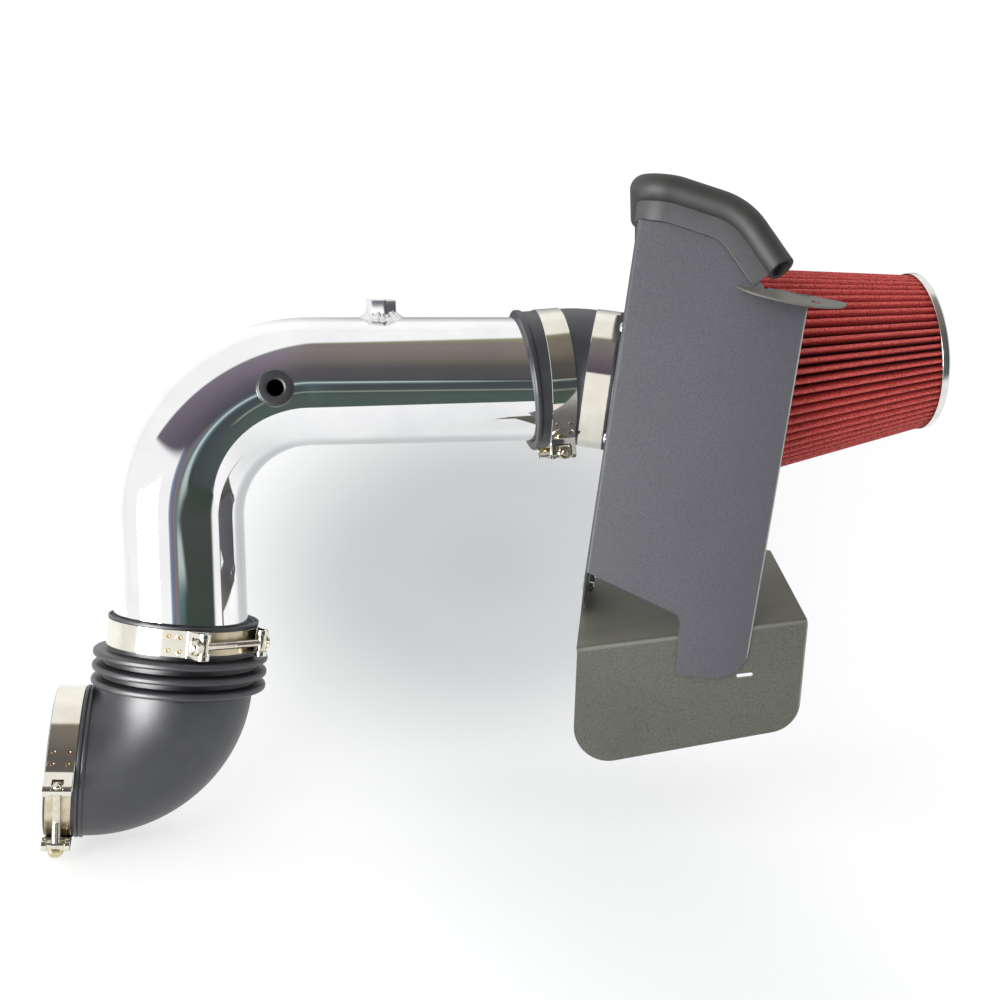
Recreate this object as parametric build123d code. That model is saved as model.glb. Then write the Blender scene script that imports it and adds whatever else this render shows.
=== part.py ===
"""Cold air intake: polished 4 inch pipe, bellows elbow, angled coupler, heat shield and cone filter.

Millimetres, +Z up as fitted in the car. The pipe's bend lies in the XZ plane: the long run goes
along +X to the filter, the riser goes down to the elbow, and -Y faces the engine (the side that
is seen). Everything is first placed from the corner where the two pipe axes cross, and the whole
part is then moved so that the mouth of the elbow, which clamps on the engine's inlet, is at zero.
"""
import os
from math import acos, atan2, cos, degrees, radians, sin, sqrt, tan

from build123d import *

# pipe
pipe_od = 101.6          # 4 inch tube, sets the scale of the whole part
pipe_wall = 1.65
bend_radius = 105.0      # centre line of the mandrel bend
run_length = 207.0       # straight part that goes into the coupler
riser_length = 121.0     # straight part that goes down into the elbow

# rubber
hose_wall = 5.7
hose_fit = 0.15          # gap between a hose bore and the tube in it
bead_height = 1.4        # raised lip at a hose mouth
bead_width = 4.0

# elbow
elbow_grip = 43.0        # length of pipe inside the elbow
elbow_lean = 6.5         # the elbow sits this far off the riser's axis, in degrees
elbow_turn = 3.7         # and is turned on the riser by this much
elbow_radius = 61.0      # centre line of its bend
elbow_leg = 115.4        # inlet lip to the corner of its axes
outlet_leg = 89.6        # outlet lip to the corner of its axes
rib_count = 3
rib_height = 10.0
rib_width = 6.6
rib_pitch = 11.0
rib_start = 29.0         # inlet lip to the middle of the first rib

# coupler
coupler_grip = 32.7      # length of pipe inside the coupler
coupler_turn = -3.0      # lean of its inlet on the pipe, sideways and up
coupler_rise = 4.0
coupler_in = 44.5        # inlet lip to the corner of its axes
coupler_out = 33.0       # outlet lip to the corner of its axes
coupler_knee = 10.5      # corner to the ends of its bend
lip_cut = 3.6            # the inlet lip is cut this far off square

# clamps with a T-bolt
band_width = 20.0
band_thick = 0.8
band_fit = 0.1
bolt_span = 54.0         # between the two trunnions
bolt_r = 3.0
trunnion_r = 4.0
bridge_thick = 0.6
nut_flats = 10.0
nut_height = 6.0
strap_weld = 9.0         # length of the folded strap that lies on the band
strap_step = 9.0         # trunnion to where the folded strap meets the band
strap_bend = 2.5
trunnion_flat = 2.6      # flat the nut bears on, from the trunnion's middle
bolt_tail = 5.0          # thread past the nut
elbow_in_band = 12.5     # lip to the middle of each band
elbow_out_band = 10.6
coupler_in_band = 23.3
coupler_out_band = 12.2
bolt_clock = (-54.0, -117.0, 0.0, 90.0)

# heat shield
shield_turn = -17.5      # direction of the adapter's axis
shield_rise = -9.6
shield_roll = 4.3
sheet = 1.5
sheet_bend = 3.0         # outside radius of a fold
wall_gap = 1.0           # between the coupler's outlet lip and the wall
panel_reach = 104.0      # adapter axis to the outside of the front panel
panel_width = 130.5
panel_top = 128.25       # top edge at the fold, above the adapter axis
panel_fold_end = -143.0
panel_notch = (76.0, -165.0)
tab_left = 80.5
tab_end = -211.0
ledge = 84.0             # height of the top edge under the ear
wall_back = 98.0
wall_foot = -6.0         # corner of the wall's lower edge
ear_width = 82.5
ear_depth = 42.0
ear_tilt = 15.0          # its front hangs down by this much
ear_fall = 3.3           # and so does its right end
ear_left = 74.6
ear_hole_r = 3.5

# base of the shield
floor_slope = 16.9       # fold line across the panel
floor_tilt = 4.0
floor_depth = 224.0
floor_left = 2.0
floor_level = -203.4     # fold line at the left end
flap_width = 175.0
flap_drop = (93.8, 82.2)
flap_shear = 17.6
flap_corner = 26.0
flange_height = 24.0
flange_start = 112.0
flange_length = 78.0
slot_size = (12.0, 4.0)
slot_at = (124.6, -36.5)

# weatherstrip
bulb_od = 20.5
bulb_id = 14.5
clip_width = 6.4
clip_depth = 13.5
strip_seat = 7.0         # bulb's underside to the sheet's edge, inside the clip
strip_fit = 0.15
strip_corner = 17.0      # turn from the wall to the panel
strip_knee = 50.0        # bends along the panel's top edge
strip_falls = (10.9, 46.5)
strip_runs = (1.0, 29.5, 31.0)

# adapter
adapter_wall = 3.0
adapter_in = 22.0
adapter_out = 30.0
flange_r = 69.0
flange_thick = 3.0
screw_circle = 62.5
screw_count = 4
screw_r = 2.5

# filter
filter_turn = -9.9
filter_rise = 5.6
filter_offset = 17.3     # wall to where its axis leaves the adapter's
filter_length = 240.2    # from there to the cap
filter_base_r = 100.0    # pleat tips, if drawn back to the start of the axis
filter_end_r = 62.5
pleat_count = 64
pleat_depth = 11.0
pleat_land = 0.55        # half width of a pleat tip, in degrees
base_start = 31.0
base_depth = 24.0
base_lip = 3.0
neck_wall = 5.0
seat_fit = 0.3           # between the pleats and the rubber they stand in
neck_band_width = 12.7   # worm-drive clamp on the neck
neck_band_gap = 6.0      # adapter flange to that clamp
worm_half = 9.0          # half length of its housing
core_gap = 0.4
core_thick = 0.8
cap_depth = 9.0
cap_thick = 0.8
cap_over = 2.2

# fittings on the pipe
bung_at = 162.8
bung_clock = 8.0
bung_flats = 22.0
bung_height = 14.0
bung_bore_r = 6.6
bung_step = 1.2          # the pipe's hole is this much wider all round
weld_leg = 4.0
grommet_angle = 15.8
grommet_inset = 3.5
grommet_r = 14.5
grommet_neck_r = 10.5
grommet_bore_r = 6.2
grommet_proud = 5.2
grommet_fit = 0.15

pipe_r = pipe_od / 2
hose_r = pipe_r + hose_wall
bore_r = pipe_r + hose_fit
pipe_end = bend_radius + run_length
riser_end = -(bend_radius + riser_length)


def turned(turn, rise):
    """Local z along the direction that is turned from +X and rises by these angles; local x down."""
    return Rotation(0, 0, turn) * Rotation(0, 90 - rise, 0)


def tube(r_out, r_in, z0, z1):
    return Pos(0, 0, z0) * extrude(Circle(r_out) - Circle(r_in), z1 - z0)


def rod(r, z0, z1):
    return Pos(0, 0, z0) * extrude(Circle(r), z1 - z0)


def turn_profile(points):
    """Solid of revolution about Z from (radius, height) points."""
    face = make_face(Polyline(*[(r, 0, z) for r, z in points], close=True))
    return revolve(face, Axis.Z, 360)


# frames, from the corner of the pipe's axes
elbow_at = (
    Pos(0, 0, riser_end + elbow_grip / 2)
    * Rotation(0, elbow_lean, 0)
    * Rotation(0, 0, elbow_turn)
    * Pos(0, 0, elbow_grip / 2 - elbow_leg)
)
coupler_at = (
    Pos(pipe_end - coupler_grip / 2, 0, 0)
    * turned(coupler_turn, coupler_rise)
    * Pos(0, 0, coupler_in - coupler_grip / 2)
)
shield_turned = Rotation(0, 0, shield_turn) * Rotation(0, -shield_rise, 0) * Rotation(shield_roll, 0, 0)
coupler_out_at = Pos(coupler_at.position) * shield_turned * Rotation(0, 90, 0)
shield_at = Pos((coupler_out_at * Pos(0, 0, coupler_out + wall_gap)).position) * shield_turned
adapter_at = shield_at * Rotation(0, 90, 0)
filter_at = Pos((adapter_at * Pos(0, 0, filter_offset)).position) * turned(filter_turn, filter_rise)
mouth = (elbow_at * Pos(-outlet_leg, 0, 0)).position
part_at = Pos(-mouth.X, -mouth.Y, -mouth.Z)

nodes = {}


# pipe and its two fittings
def bend(face_r):
    profile = Pos(bend_radius, 0, 0) * Rotation(0, 90, 0) * Circle(face_r)
    return revolve(profile, Axis((bend_radius, 0, -bend_radius), (0, 1, 0)), -90)


def pipe_solid(r, run, riser):
    run_part = Pos(bend_radius, 0, 0) * Rotation(0, 90, 0) * extrude(Circle(r), run)
    riser_part = Pos(0, 0, -bend_radius - riser) * extrude(Circle(r), riser)
    return bend(r) + run_part + riser_part


pipe_outside = pipe_solid(pipe_r, run_length, riser_length)
pipe_inside = pipe_solid(pipe_r - pipe_wall, run_length, riser_length)
bung_frame = Pos(bung_at, 0, 0) * Rotation(bung_clock, 0, 0)
grommet_line = bend_radius - grommet_inset
grommet_frame = Pos(
    bend_radius - grommet_line * sin(radians(grommet_angle)),
    0,
    -bend_radius + grommet_line * cos(radians(grommet_angle)),
) * Rotation(90, 0, 0)
pipe = pipe_outside - pipe_inside
pipe -= bung_frame * rod(bung_bore_r + bung_step, 0, pipe_od)
pipe -= grommet_frame * rod(grommet_neck_r + grommet_fit, 0, pipe_od)
nodes["intake_pipe"] = pipe

run_frame = Pos(bend_radius, 0, 0) * Rotation(0, 90, 0)
pipe_skin = run_frame * extrude(Circle(pipe_r + grommet_fit / 3), run_length)
bung_top = pipe_r + bung_height
bung_corner = bung_flats / sqrt(3)
boss = extrude(RegularPolygon(bung_corner, 6, rotation=12), bung_top)
boss = chamfer(boss.faces().sort_by(Axis.Z)[-1].edges(), 1.0)
weld = turn_profile(
    [
        (0, 0), (bung_corner + weld_leg, 0), (bung_corner + weld_leg, pipe_r),
        (bung_corner - 0.5, pipe_r + weld_leg), (0, pipe_r + weld_leg),
    ]
)
nodes["sensor_bung"] = bung_frame * (boss + weld - rod(bung_bore_r, 0, bung_top + 1)) - pipe_skin

grommet_top = pipe_r + grommet_proud
keeper_r = grommet_neck_r + 2.2
grommet_inner = sqrt((pipe_r - pipe_wall) ** 2 - (grommet_inset + keeper_r) ** 2) - grommet_fit
head = turn_profile(
    [
        (grommet_bore_r, pipe_r - 4), (grommet_r, pipe_r - 4), (grommet_r, grommet_top - 1.6),
        (grommet_r - 1.6, grommet_top), (grommet_bore_r + 1, grommet_top), (grommet_bore_r, grommet_top - 1),
    ]
)
head = grommet_frame * head - bend(pipe_r + grommet_fit / 3)
shank = grommet_frame * tube(grommet_neck_r, grommet_bore_r, grommet_inner - 3, grommet_top - 2)
keeper = grommet_frame * tube(keeper_r, grommet_bore_r, grommet_inner - 3, grommet_inner)
nodes["pipe_grommet"] = head + shank + keeper


# bellows elbow
def ring_profile(z_mid, width, height, root):
    """Rounded ring that stands on a hose of the root radius."""
    half = width / 2
    top = root + height
    soft = 0.35 * width
    return turn_profile(
        [
            (root - 2, z_mid - half), (top - soft, z_mid - half), (top, z_mid - half + soft),
            (top, z_mid + half - soft), (top - soft, z_mid + half), (root - 2, z_mid + half),
        ]
    )


def elbow_bend(r):
    profile = Pos(0, 0, elbow_radius) * Circle(r)
    return revolve(profile, Axis((-elbow_radius, 0, elbow_radius), (0, 1, 0)), 90)


along_outlet = Rotation(0, -90, 0)
elbow_body = rod(hose_r, elbow_radius, elbow_leg) + elbow_bend(hose_r)
elbow_body += along_outlet * rod(hose_r, elbow_radius, outlet_leg)
for i in range(rib_count):
    elbow_body += ring_profile(elbow_leg - rib_start - i * rib_pitch, rib_width, rib_height, hose_r)
outlet_stop = outlet_leg - elbow_out_band - band_width / 2 - bead_width / 2 - 0.6
elbow_body += along_outlet * ring_profile(outlet_stop, bead_width, bead_height, hose_r)
elbow_hollow = rod(pipe_r, elbow_radius, elbow_leg - elbow_grip / 2) + elbow_bend(pipe_r)
elbow_hollow += along_outlet * rod(pipe_r, elbow_radius, outlet_leg + 1)
elbow_socket = Pos(0, 0, riser_end - 2) * extrude(Circle(bore_r), elbow_grip + 20)
nodes["elbow_hose"] = elbow_at * elbow_body - elbow_at * elbow_hollow - elbow_socket

# angled coupler
inlet_dir = (coupler_at * Pos(0, 0, 1)).position - coupler_at.position
outlet_dir = (coupler_out_at * Pos(0, 0, 1)).position - coupler_at.position
knee_angle = degrees(acos(inlet_dir.dot(outlet_dir)))
knee_axis = inlet_dir.cross(outlet_dir).normalized()
knee_in = (outlet_dir - inlet_dir * inlet_dir.dot(outlet_dir)).normalized()
knee_radius = coupler_knee / tan(radians(knee_angle / 2))


def knee(r):
    start = coupler_at.position - inlet_dir * coupler_knee
    profile = Plane(origin=start, z_dir=inlet_dir) * Circle(r)
    return revolve(profile, Axis(start + knee_in * knee_radius, knee_axis), knee_angle)


coupler_body = coupler_at * rod(hose_r, -coupler_in - 6, -coupler_knee) + knee(hose_r)
coupler_body += coupler_out_at * rod(hose_r, coupler_knee, coupler_out)
lip_at = coupler_at * Pos(0, 0, -coupler_in) * Rotation(0, -lip_cut, 0)
lip_trim = lip_at * Pos(0, 0, -20) * Box(4 * pipe_od, 4 * pipe_od, 40)
coupler_body -= lip_trim
coupler_hollow = knee(pipe_r) + coupler_out_at * rod(bore_r, coupler_knee, coupler_out + 1)
socket_at = Pos(pipe_end - coupler_grip - 20, 0, 0) * Rotation(0, 90, 0)
coupler_hollow += socket_at * extrude(Circle(bore_r), coupler_grip + 22)
coupler_hollow += coupler_at * rod(pipe_r, -coupler_knee - 8, -coupler_knee)
nodes["coupler_hose"] = coupler_body - coupler_hollow


# clamp with a T-bolt: local z is the hose's axis, the bolt lies across local +X
def path_edges(path, shift):
    """Edges of a chain of arcs and lines, moved sideways (left is positive)."""
    edges = []
    for piece in path:
        if piece[0] == "arc":
            centre, r, a0, a1 = piece[1:]
            side = 1 if a1 > a0 else -1
            edges.append(CenterArc((*centre, 0), r - side * shift, a0, a1 - a0))
        else:
            (x0, y0), (x1, y1) = piece[1:]
            long = sqrt((x1 - x0) ** 2 + (y1 - y0) ** 2)
            nx, ny = -(y1 - y0) / long * shift, (x1 - x0) / long * shift
            edges.append(Line((x0 + nx, y0 + ny), (x1 + nx, y1 + ny)))
    return edges


def polar(centre, r, angle):
    return (centre[0] + r * cos(radians(angle)), centre[1] + r * sin(radians(angle)))


def t_bolt_clamp(name, place, seat_r):
    r_in = seat_r + band_fit
    bolt_x = r_in + bridge_thick + bolt_r + 1.6
    half = bolt_span / 2
    loop_r = trunnion_r + 0.2 + band_thick / 2
    mid = r_in + band_thick / 2
    eye = (bolt_x, half)
    far = sqrt(bolt_x**2 + half**2)
    leave = degrees(atan2(half, bolt_x)) + degrees(acos((mid + loop_r) / far))
    # the end of the strap comes back round the trunnion, down to the strap, and lies on it
    lie = loop_r - band_thick - 0.1
    slant = degrees(acos(loop_r / sqrt(strap_step**2 + lie**2)) - atan2(lie, strap_step))
    kink = 90 - slant
    bend_from = strap_step + strap_bend * tan(radians(kink / 2))

    def beside(along, out):
        """Point at a distance along the straight strap from the trunnion, and out from it."""
        return polar(polar(eye, along, leave + 90), out, leave)

    soft = beside(bend_from, strap_bend - lie)
    zero = (0.0, 0.0)
    upper = [
        ("line", beside(bend_from + strap_weld, -lie), beside(bend_from, -lie)),
        ("arc", soft, strap_bend, leave + 180, leave + 180 + kink),
        ("line", polar(soft, strap_bend, leave + 180 + kink), polar(eye, loop_r, leave + kink)),
        ("arc", eye, loop_r, leave + kink, leave - 180),
        ("line", polar(eye, loop_r, leave - 180), polar(zero, mid, leave)),
        ("arc", zero, mid, leave, 180),
    ]
    left = path_edges(upper, band_thick / 2)
    right = path_edges(upper, -band_thick / 2)
    end_cap = Line(left[0] @ 0, right[0] @ 0)
    half_face = make_face(left + right + [end_cap, Line(left[-1] @ 1, right[-1] @ 1)])
    half_band = Pos(0, 0, -band_width / 2) * extrude(half_face, band_width)
    band = half_band + mirror(half_band, Plane.XZ)
    slot = 2 * bolt_r + 1.6
    band -= Pos(bolt_x + 1.5, -half + loop_r, 0) * Box(trunnion_r * 2 + 3, 2 * loop_r, slot)
    nut_slot = nut_flats * 2 / sqrt(3) + 1.0
    nut_room = nut_slot / 2 + 0.2
    band -= Pos(bolt_x + 0.5, half + 8, 0) * Box(2 * nut_room + 1, 30, nut_slot)
    half_bridge = leave - degrees(acos(mid / (mid + bridge_thick + band_fit))) - 2
    low_r = seat_r + band_fit / 2
    high_r = low_r + bridge_thick
    bridge_edges = [CenterArc((0, 0, 0), r, -half_bridge, 2 * half_bridge) for r in (low_r, high_r)]
    for end in (-half_bridge, half_bridge):
        bridge_edges.append(Line(polar(zero, low_r, end), polar(zero, high_r, end)))
    bridge = Pos(0, 0, 1 - band_width / 2) * extrude(make_face(bridge_edges), band_width - 2)
    along_bolt = Pos(bolt_x, half, 0) * Rotation(-90, 0, 0)
    trunnion = Pos(bolt_x, half, 1 - band_width / 2) * extrude(Circle(trunnion_r), band_width - 2)
    flat_box = Box(3 * trunnion_r, 2 * trunnion_r, band_width)
    trunnion -= Pos(bolt_x, half + trunnion_flat + trunnion_r, 0) * flat_box
    trunnion -= along_bolt * rod(bolt_r + 0.15, -2 * trunnion_r, 2 * trunnion_r)
    bolt = Pos(bolt_x, -half, 1 - band_width / 2) * extrude(Circle(trunnion_r), band_width - 2)
    bolt += along_bolt * rod(bolt_r, -bolt_span, trunnion_flat + nut_height + bolt_tail)
    hexagon = RegularPolygon(nut_flats / sqrt(3), 6) - Circle(bolt_r + 0.1)
    nut = along_bolt * Pos(0, 0, trunnion_flat + 0.05) * extrude(hexagon, nut_height)
    pieces = {"band": band, "bridge": bridge, "bolt": bolt, "trunnion": trunnion, "nut": nut}
    for piece, solid in pieces.items():
        nodes[f"{name}_{piece}"] = place * solid


flip = Rotation(180, 0, 0)
band_1_at = elbow_at * Pos(0, 0, elbow_leg - elbow_in_band) * Rotation(0, 0, bolt_clock[0])
band_2_at = elbow_at * along_outlet * Pos(0, 0, outlet_leg - elbow_out_band) * Rotation(0, 0, bolt_clock[1])
band_3_at = coupler_at * Pos(0, 0, coupler_in_band - coupler_in) * Rotation(0, 0, bolt_clock[2])
band_4_at = coupler_out_at * Pos(0, 0, coupler_out - coupler_out_band) * Rotation(0, 0, bolt_clock[3])
t_bolt_clamp("clamp_elbow_in", band_1_at, hose_r)
t_bolt_clamp("clamp_elbow_out", band_2_at * flip, hose_r)
t_bolt_clamp("clamp_coupler_in", band_3_at * flip, hose_r)
t_bolt_clamp("clamp_coupler_out", band_4_at, hose_r)


# heat shield: local x is the adapter's axis, the wall stands at x = 0, the panel at y = -panel_reach
def plate(points, radii):
    """Flat face from points, with the corners in radii rounded."""
    face = make_face(Polyline(*points, close=True))
    for index, r in radii.items():
        corner = Vector(*points[index])
        face = fillet(face.vertices().sort_by_distance(corner)[0:1], r)
    return face


edge_drop = bulb_od / 2 + strip_seat
strip_top = panel_top + edge_drop
sheet_mid = sheet / 2 - panel_reach
strip_legs = []          # start, heading and length of each straight leg of the strip on the panel
spot = (sheet / 2 + strip_corner, strip_top)
heading = 0.0
for length, fall in zip(strip_runs, (*strip_falls, None)):
    strip_legs.append((spot, heading, length))
    spot = polar(spot, length, -heading)
    if fall is not None:
        centre = polar(spot, strip_knee, -90 - heading)
        spot = polar(centre, strip_knee, 90 - fall)
        heading = fall
# the sheet's edge runs under the strip, so its corners come from the same legs
edge_r = strip_knee - edge_drop - strip_fit
top_edge = []
for (p0, h0, length), (p1, h1, _) in zip(strip_legs, strip_legs[1:]):
    end = polar(polar(p0, length, -h0), edge_drop + strip_fit, -90 - h0)
    top_edge.append(polar(end, edge_r * tan(radians((h1 - h0) / 2)), -h0))
last_start, last_heading, _ = strip_legs[-1]
edge_start = polar(last_start, edge_drop + strip_fit, -90 - last_heading)
ledge_x = edge_start[0] + (edge_start[1] - ledge) / tan(radians(last_heading))
panel_points = [
    (sheet_bend, panel_top - strip_fit), (sheet_bend, panel_fold_end), panel_notch, (tab_left - 1, tab_end),
    (panel_width, tab_end + 4), (panel_width, ledge), (ledge_x, ledge), *reversed(top_edge),
]
panel_face = plate(panel_points, {4: 19.0, 3: 4.0, 2: 9.0, 7: edge_r, 8: edge_r})
panel = Pos(0, sheet - panel_reach, 0) * Rotation(90, 0, 0) * extrude(panel_face, sheet)
floor_rise = tan(radians(floor_tilt))
wall_front = sheet_bend - panel_reach


def floor_height(y):
    return floor_level + (y + panel_reach - sheet) * floor_rise


wall_face = plate(
    [
        (wall_front, panel_top - strip_fit), (wall_front, panel_fold_end),
        (wall_foot, floor_height(wall_foot) + 2 * sheet), (wall_back, floor_height(wall_back) + 2 * sheet),
        (wall_back, panel_top - strip_fit),
    ],
    {2: 10.0, 3: 8.0},
)
wall = Plane.YZ * extrude(wall_face, sheet)
wall -= Rotation(0, 90, 0) * rod(pipe_r + 0.4, -5, 5)
fold_centre = (sheet_bend, sheet_bend - panel_reach)
fold_in = sheet_bend - sheet
fold_face = make_face(
    [
        CenterArc((*fold_centre, 0), sheet_bend, 180, 90),
        CenterArc((*fold_centre, 0), fold_in, 180, 90),
        Line(polar(fold_centre, fold_in, 180), polar(fold_centre, sheet_bend, 180)),
        Line(polar(fold_centre, fold_in, 270), polar(fold_centre, sheet_bend, 270)),
    ]
)
fold = Pos(0, 0, panel_fold_end) * extrude(fold_face, panel_top - strip_fit - panel_fold_end)
shield = panel + wall + fold
# the clip turns the corner in a wider curve than the fold, so the sheet stops under it there
clip_end = strip_top - bulb_od / 2 - clip_depth - 2 * strip_fit
corner_cut = strip_corner + 2
corner_box = Box(corner_cut + 2, corner_cut + 2, 100)
shield -= Pos(corner_cut / 2 - 1, corner_cut / 2 - 1 - panel_reach, clip_end + 50) * corner_box
ear_middle = ear_left + ear_width / 2
ear_face = Sketch() + Ellipse(ear_width / 2, ear_depth / 2)
# the ear hangs on the ledge only: beside the strip's clip it is cut free
clip_room = clip_width / 2 + 2 * sheet
ear_free = Rectangle(ear_width, ear_depth, align=(Align.MAX, Align.MIN))
ear_face -= Pos(ledge_x + 2 - ear_middle, -clip_room) * ear_free
ear = extrude(ear_face, sheet)
ear_hole_at = (ear_width * 0.22, -ear_depth * 0.25)
ear -= Pos(*ear_hole_at, 0) * rod(ear_hole_r, -1, sheet + 1)
ear_frame = Pos(ear_middle, sheet / 2 - panel_reach, ledge - sheet) * Rotation(0, ear_fall, 0) * Rotation(ear_tilt, 0, 0)
shield += ear_frame * ear
screw_angles = [360 / screw_count * (i + 0.5) for i in range(screw_count)]
for angle in screw_angles:
    shield -= Rotation(0, 90, 0) * Pos(*polar((0, 0), screw_circle, angle), 0) * rod(screw_r + 0.2, -5, 5)

# base: local x along the fold line
base_frame = Pos(floor_left, sheet - panel_reach, floor_level) * Rotation(0, -floor_slope, 0)
flap_face = plate(
    [(0, 0), (-flap_shear, -flap_drop[0]), (flap_width - flap_shear, -flap_drop[1]), (flap_width, 0)],
    {1: flap_corner, 2: flap_corner},
)
flap = Pos(0, sheet, 0) * Rotation(90, 0, 0) * extrude(flap_face, sheet)
flap -= Pos(slot_at[0], sheet / 2, slot_at[1]) * Box(slot_size[0], 4 * sheet, slot_size[1])
tread = extrude(Pos(flap_width / 2, floor_depth / 2) * Rectangle(flap_width, floor_depth), -sheet)
tread = Rotation(floor_tilt, 0, 0) * tread
base = base_frame * (flap + tread)
flange_low = floor_height(-panel_reach + flange_start) - 0.5
flange_y = -panel_reach + flange_start + flange_length / 2
flange_mid = (1.5 * sheet + 0.1, flange_y, flange_low + flange_height / 2)
base += Pos(*flange_mid) * Box(sheet, flange_length, flange_height)
rivet_y = [-panel_reach + flange_start + flange_length * k for k in (0.25, 0.75)]
rivet_z = flange_low + flange_height * 0.66
for y in rivet_y:
    hole = Pos(0, y, rivet_z) * Rotation(0, 90, 0) * rod(screw_r + 0.2, -5, 8)
    base -= hole
    shield -= hole
nodes["heat_shield_panel"] = shield_at * shield
nodes["heat_shield_base"] = shield_at * base


# screws with a domed head at the wall's outside and a nut at the inside
def screw(length):
    head_side = [(0, -2.4), (2.8, -2.4), (4.2, -1.0), (4.2, -0.05)]
    return turn_profile([*head_side, (screw_r, -0.05), (screw_r, length), (0, length)])


def screw_nut(seat, height):
    return Pos(0, 0, seat) * extrude(RegularPolygon(4.6, 6) - Circle(screw_r + 0.1), height)


screws, nuts = [], []
for angle in screw_angles:
    spot = adapter_at * Pos(*polar((0, 0), screw_circle, angle), 0)
    screws.append(spot * screw(sheet + flange_thick + 5))
    nuts.append(spot * screw_nut(sheet + flange_thick + 0.1, 4))
nodes["adapter_screws"] = Compound(children=screws)
nodes["adapter_nuts"] = Compound(children=nuts)
screws, nuts = [], []
for y in rivet_y:
    spot = shield_at * Pos(0, y, rivet_z) * Rotation(0, 90, 0)
    screws.append(spot * screw(2 * sheet + 5))
    nuts.append(spot * screw_nut(2 * sheet + 0.15, 4))
nodes["base_screws"] = Compound(children=screws)
nodes["base_nuts"] = Compound(children=nuts)

# weatherstrip: bulb with a clip that is pushed on the sheet's top edge
clip_face = Pos(0, -bulb_od / 2 - clip_depth / 2 + 1.2) * Rectangle(clip_width, clip_depth + 2.4)
strip_face = Circle(bulb_od / 2) + clip_face - Circle(bulb_id / 2)
strip_face -= Pos(0, -edge_drop - clip_depth) * Rectangle(sheet + 2 * strip_fit, 2 * clip_depth)


# along the wall's top, round the corner, and down the panel's top edge
wall_run = wall_back - 2 - sheet_mid - strip_corner
wall_frame = Plane(origin=(sheet / 2, wall_back - 2, strip_top), x_dir=(1, 0, 0), z_dir=(0, -1, 0))
strip_parts = [wall_frame * extrude(strip_face, wall_run)]
corner_from = (sheet / 2, strip_corner + sheet_mid, strip_top)
corner_frame = Plane(origin=corner_from, x_dir=(1, 0, 0), z_dir=(0, -1, 0))
corner_axis = Axis((sheet / 2 + strip_corner, strip_corner + sheet_mid, 0), (0, 0, 1))
strip_parts.append(revolve(corner_frame * strip_face, corner_axis, 90))
for index, ((x, z), heading, length) in enumerate(strip_legs):
    forward = Vector(cos(radians(heading)), 0, -sin(radians(heading)))
    start = Vector(x, sheet_mid, z)
    leg_frame = Plane(origin=start, x_dir=(0, 1, 0), z_dir=forward)
    strip_parts.append(leg_frame * extrude(strip_face, length))
    if index < len(strip_falls):
        end = start + forward * length
        x, z = polar((end.X, end.Z), strip_knee, -90 - heading)
        section = Plane(origin=end, x_dir=(0, 1, 0), z_dir=forward) * strip_face
        knee_axis = Axis((x, sheet_mid, z), (0, 1, 0))
        strip_parts.append(revolve(section, knee_axis, strip_falls[index] - heading))
nodes["weatherstrip"] = shield_at * (Part() + strip_parts)

# adapter: local z along its axis, the wall's outside at z = 0
adapter = tube(pipe_r, pipe_r - adapter_wall, -adapter_in, adapter_out)
adapter += tube(flange_r, pipe_r - adapter_wall, sheet, sheet + flange_thick)
for angle in screw_angles:
    adapter -= Pos(*polar((0, 0), screw_circle, angle), 0) * rod(screw_r + 0.2, 0, 20)
nodes["filter_adapter"] = adapter_at * adapter

# filter: local z along its axis
taper = (filter_base_r - filter_end_r) / filter_length


def tip_r(z):
    return filter_base_r - taper * z


pleat_start = base_start + base_depth - 6
pleat_end = filter_length - cap_thick - 0.3


def star(z):
    points = []
    step = 360 / pleat_count
    for i in range(pleat_count):
        for r, half in ((tip_r(z), pleat_land), (tip_r(z) - pleat_depth, 1.4 * pleat_land)):
            middle = i * step + (0 if half == pleat_land else step / 2)
            points.append(polar((0, 0), r, middle - half))
            points.append(polar((0, 0), r, middle + half))
    return Pos(0, 0, z) * make_face(Polyline(*points, close=True))


def cone(r_at, inset, z0, z1):
    return turn_profile([(0, z0), (r_at(z0) - inset, z0), (r_at(z1) - inset, z1), (0, z1)])


core_inset = pleat_depth + 2.0
media = loft([star(pleat_start), star(pleat_end)], ruled=True)
media -= cone(tip_r, core_inset, pleat_start - 1, pleat_end + 1)
nodes["filter_media"] = filter_at * media
core = cone(tip_r, core_inset + core_gap, pleat_start, pleat_end)
core -= cone(tip_r, core_inset + core_gap + core_thick, pleat_start - 1, pleat_end + 1)
nodes["filter_core"] = filter_at * core

cap_r = tip_r(pleat_end) + cap_over
cap = turn_profile(
    [
        (0, filter_length - cap_thick), (cap_r - 1.2, filter_length - cap_thick),
        (cap_r - cap_thick, filter_length - 2.4), (cap_r - cap_thick, filter_length - cap_depth),
        (cap_r, filter_length - cap_depth), (cap_r, filter_length - 2), (cap_r - 2, filter_length),
        (0, filter_length),
    ]
)
nodes["filter_end_cap"] = filter_at * cap

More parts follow.
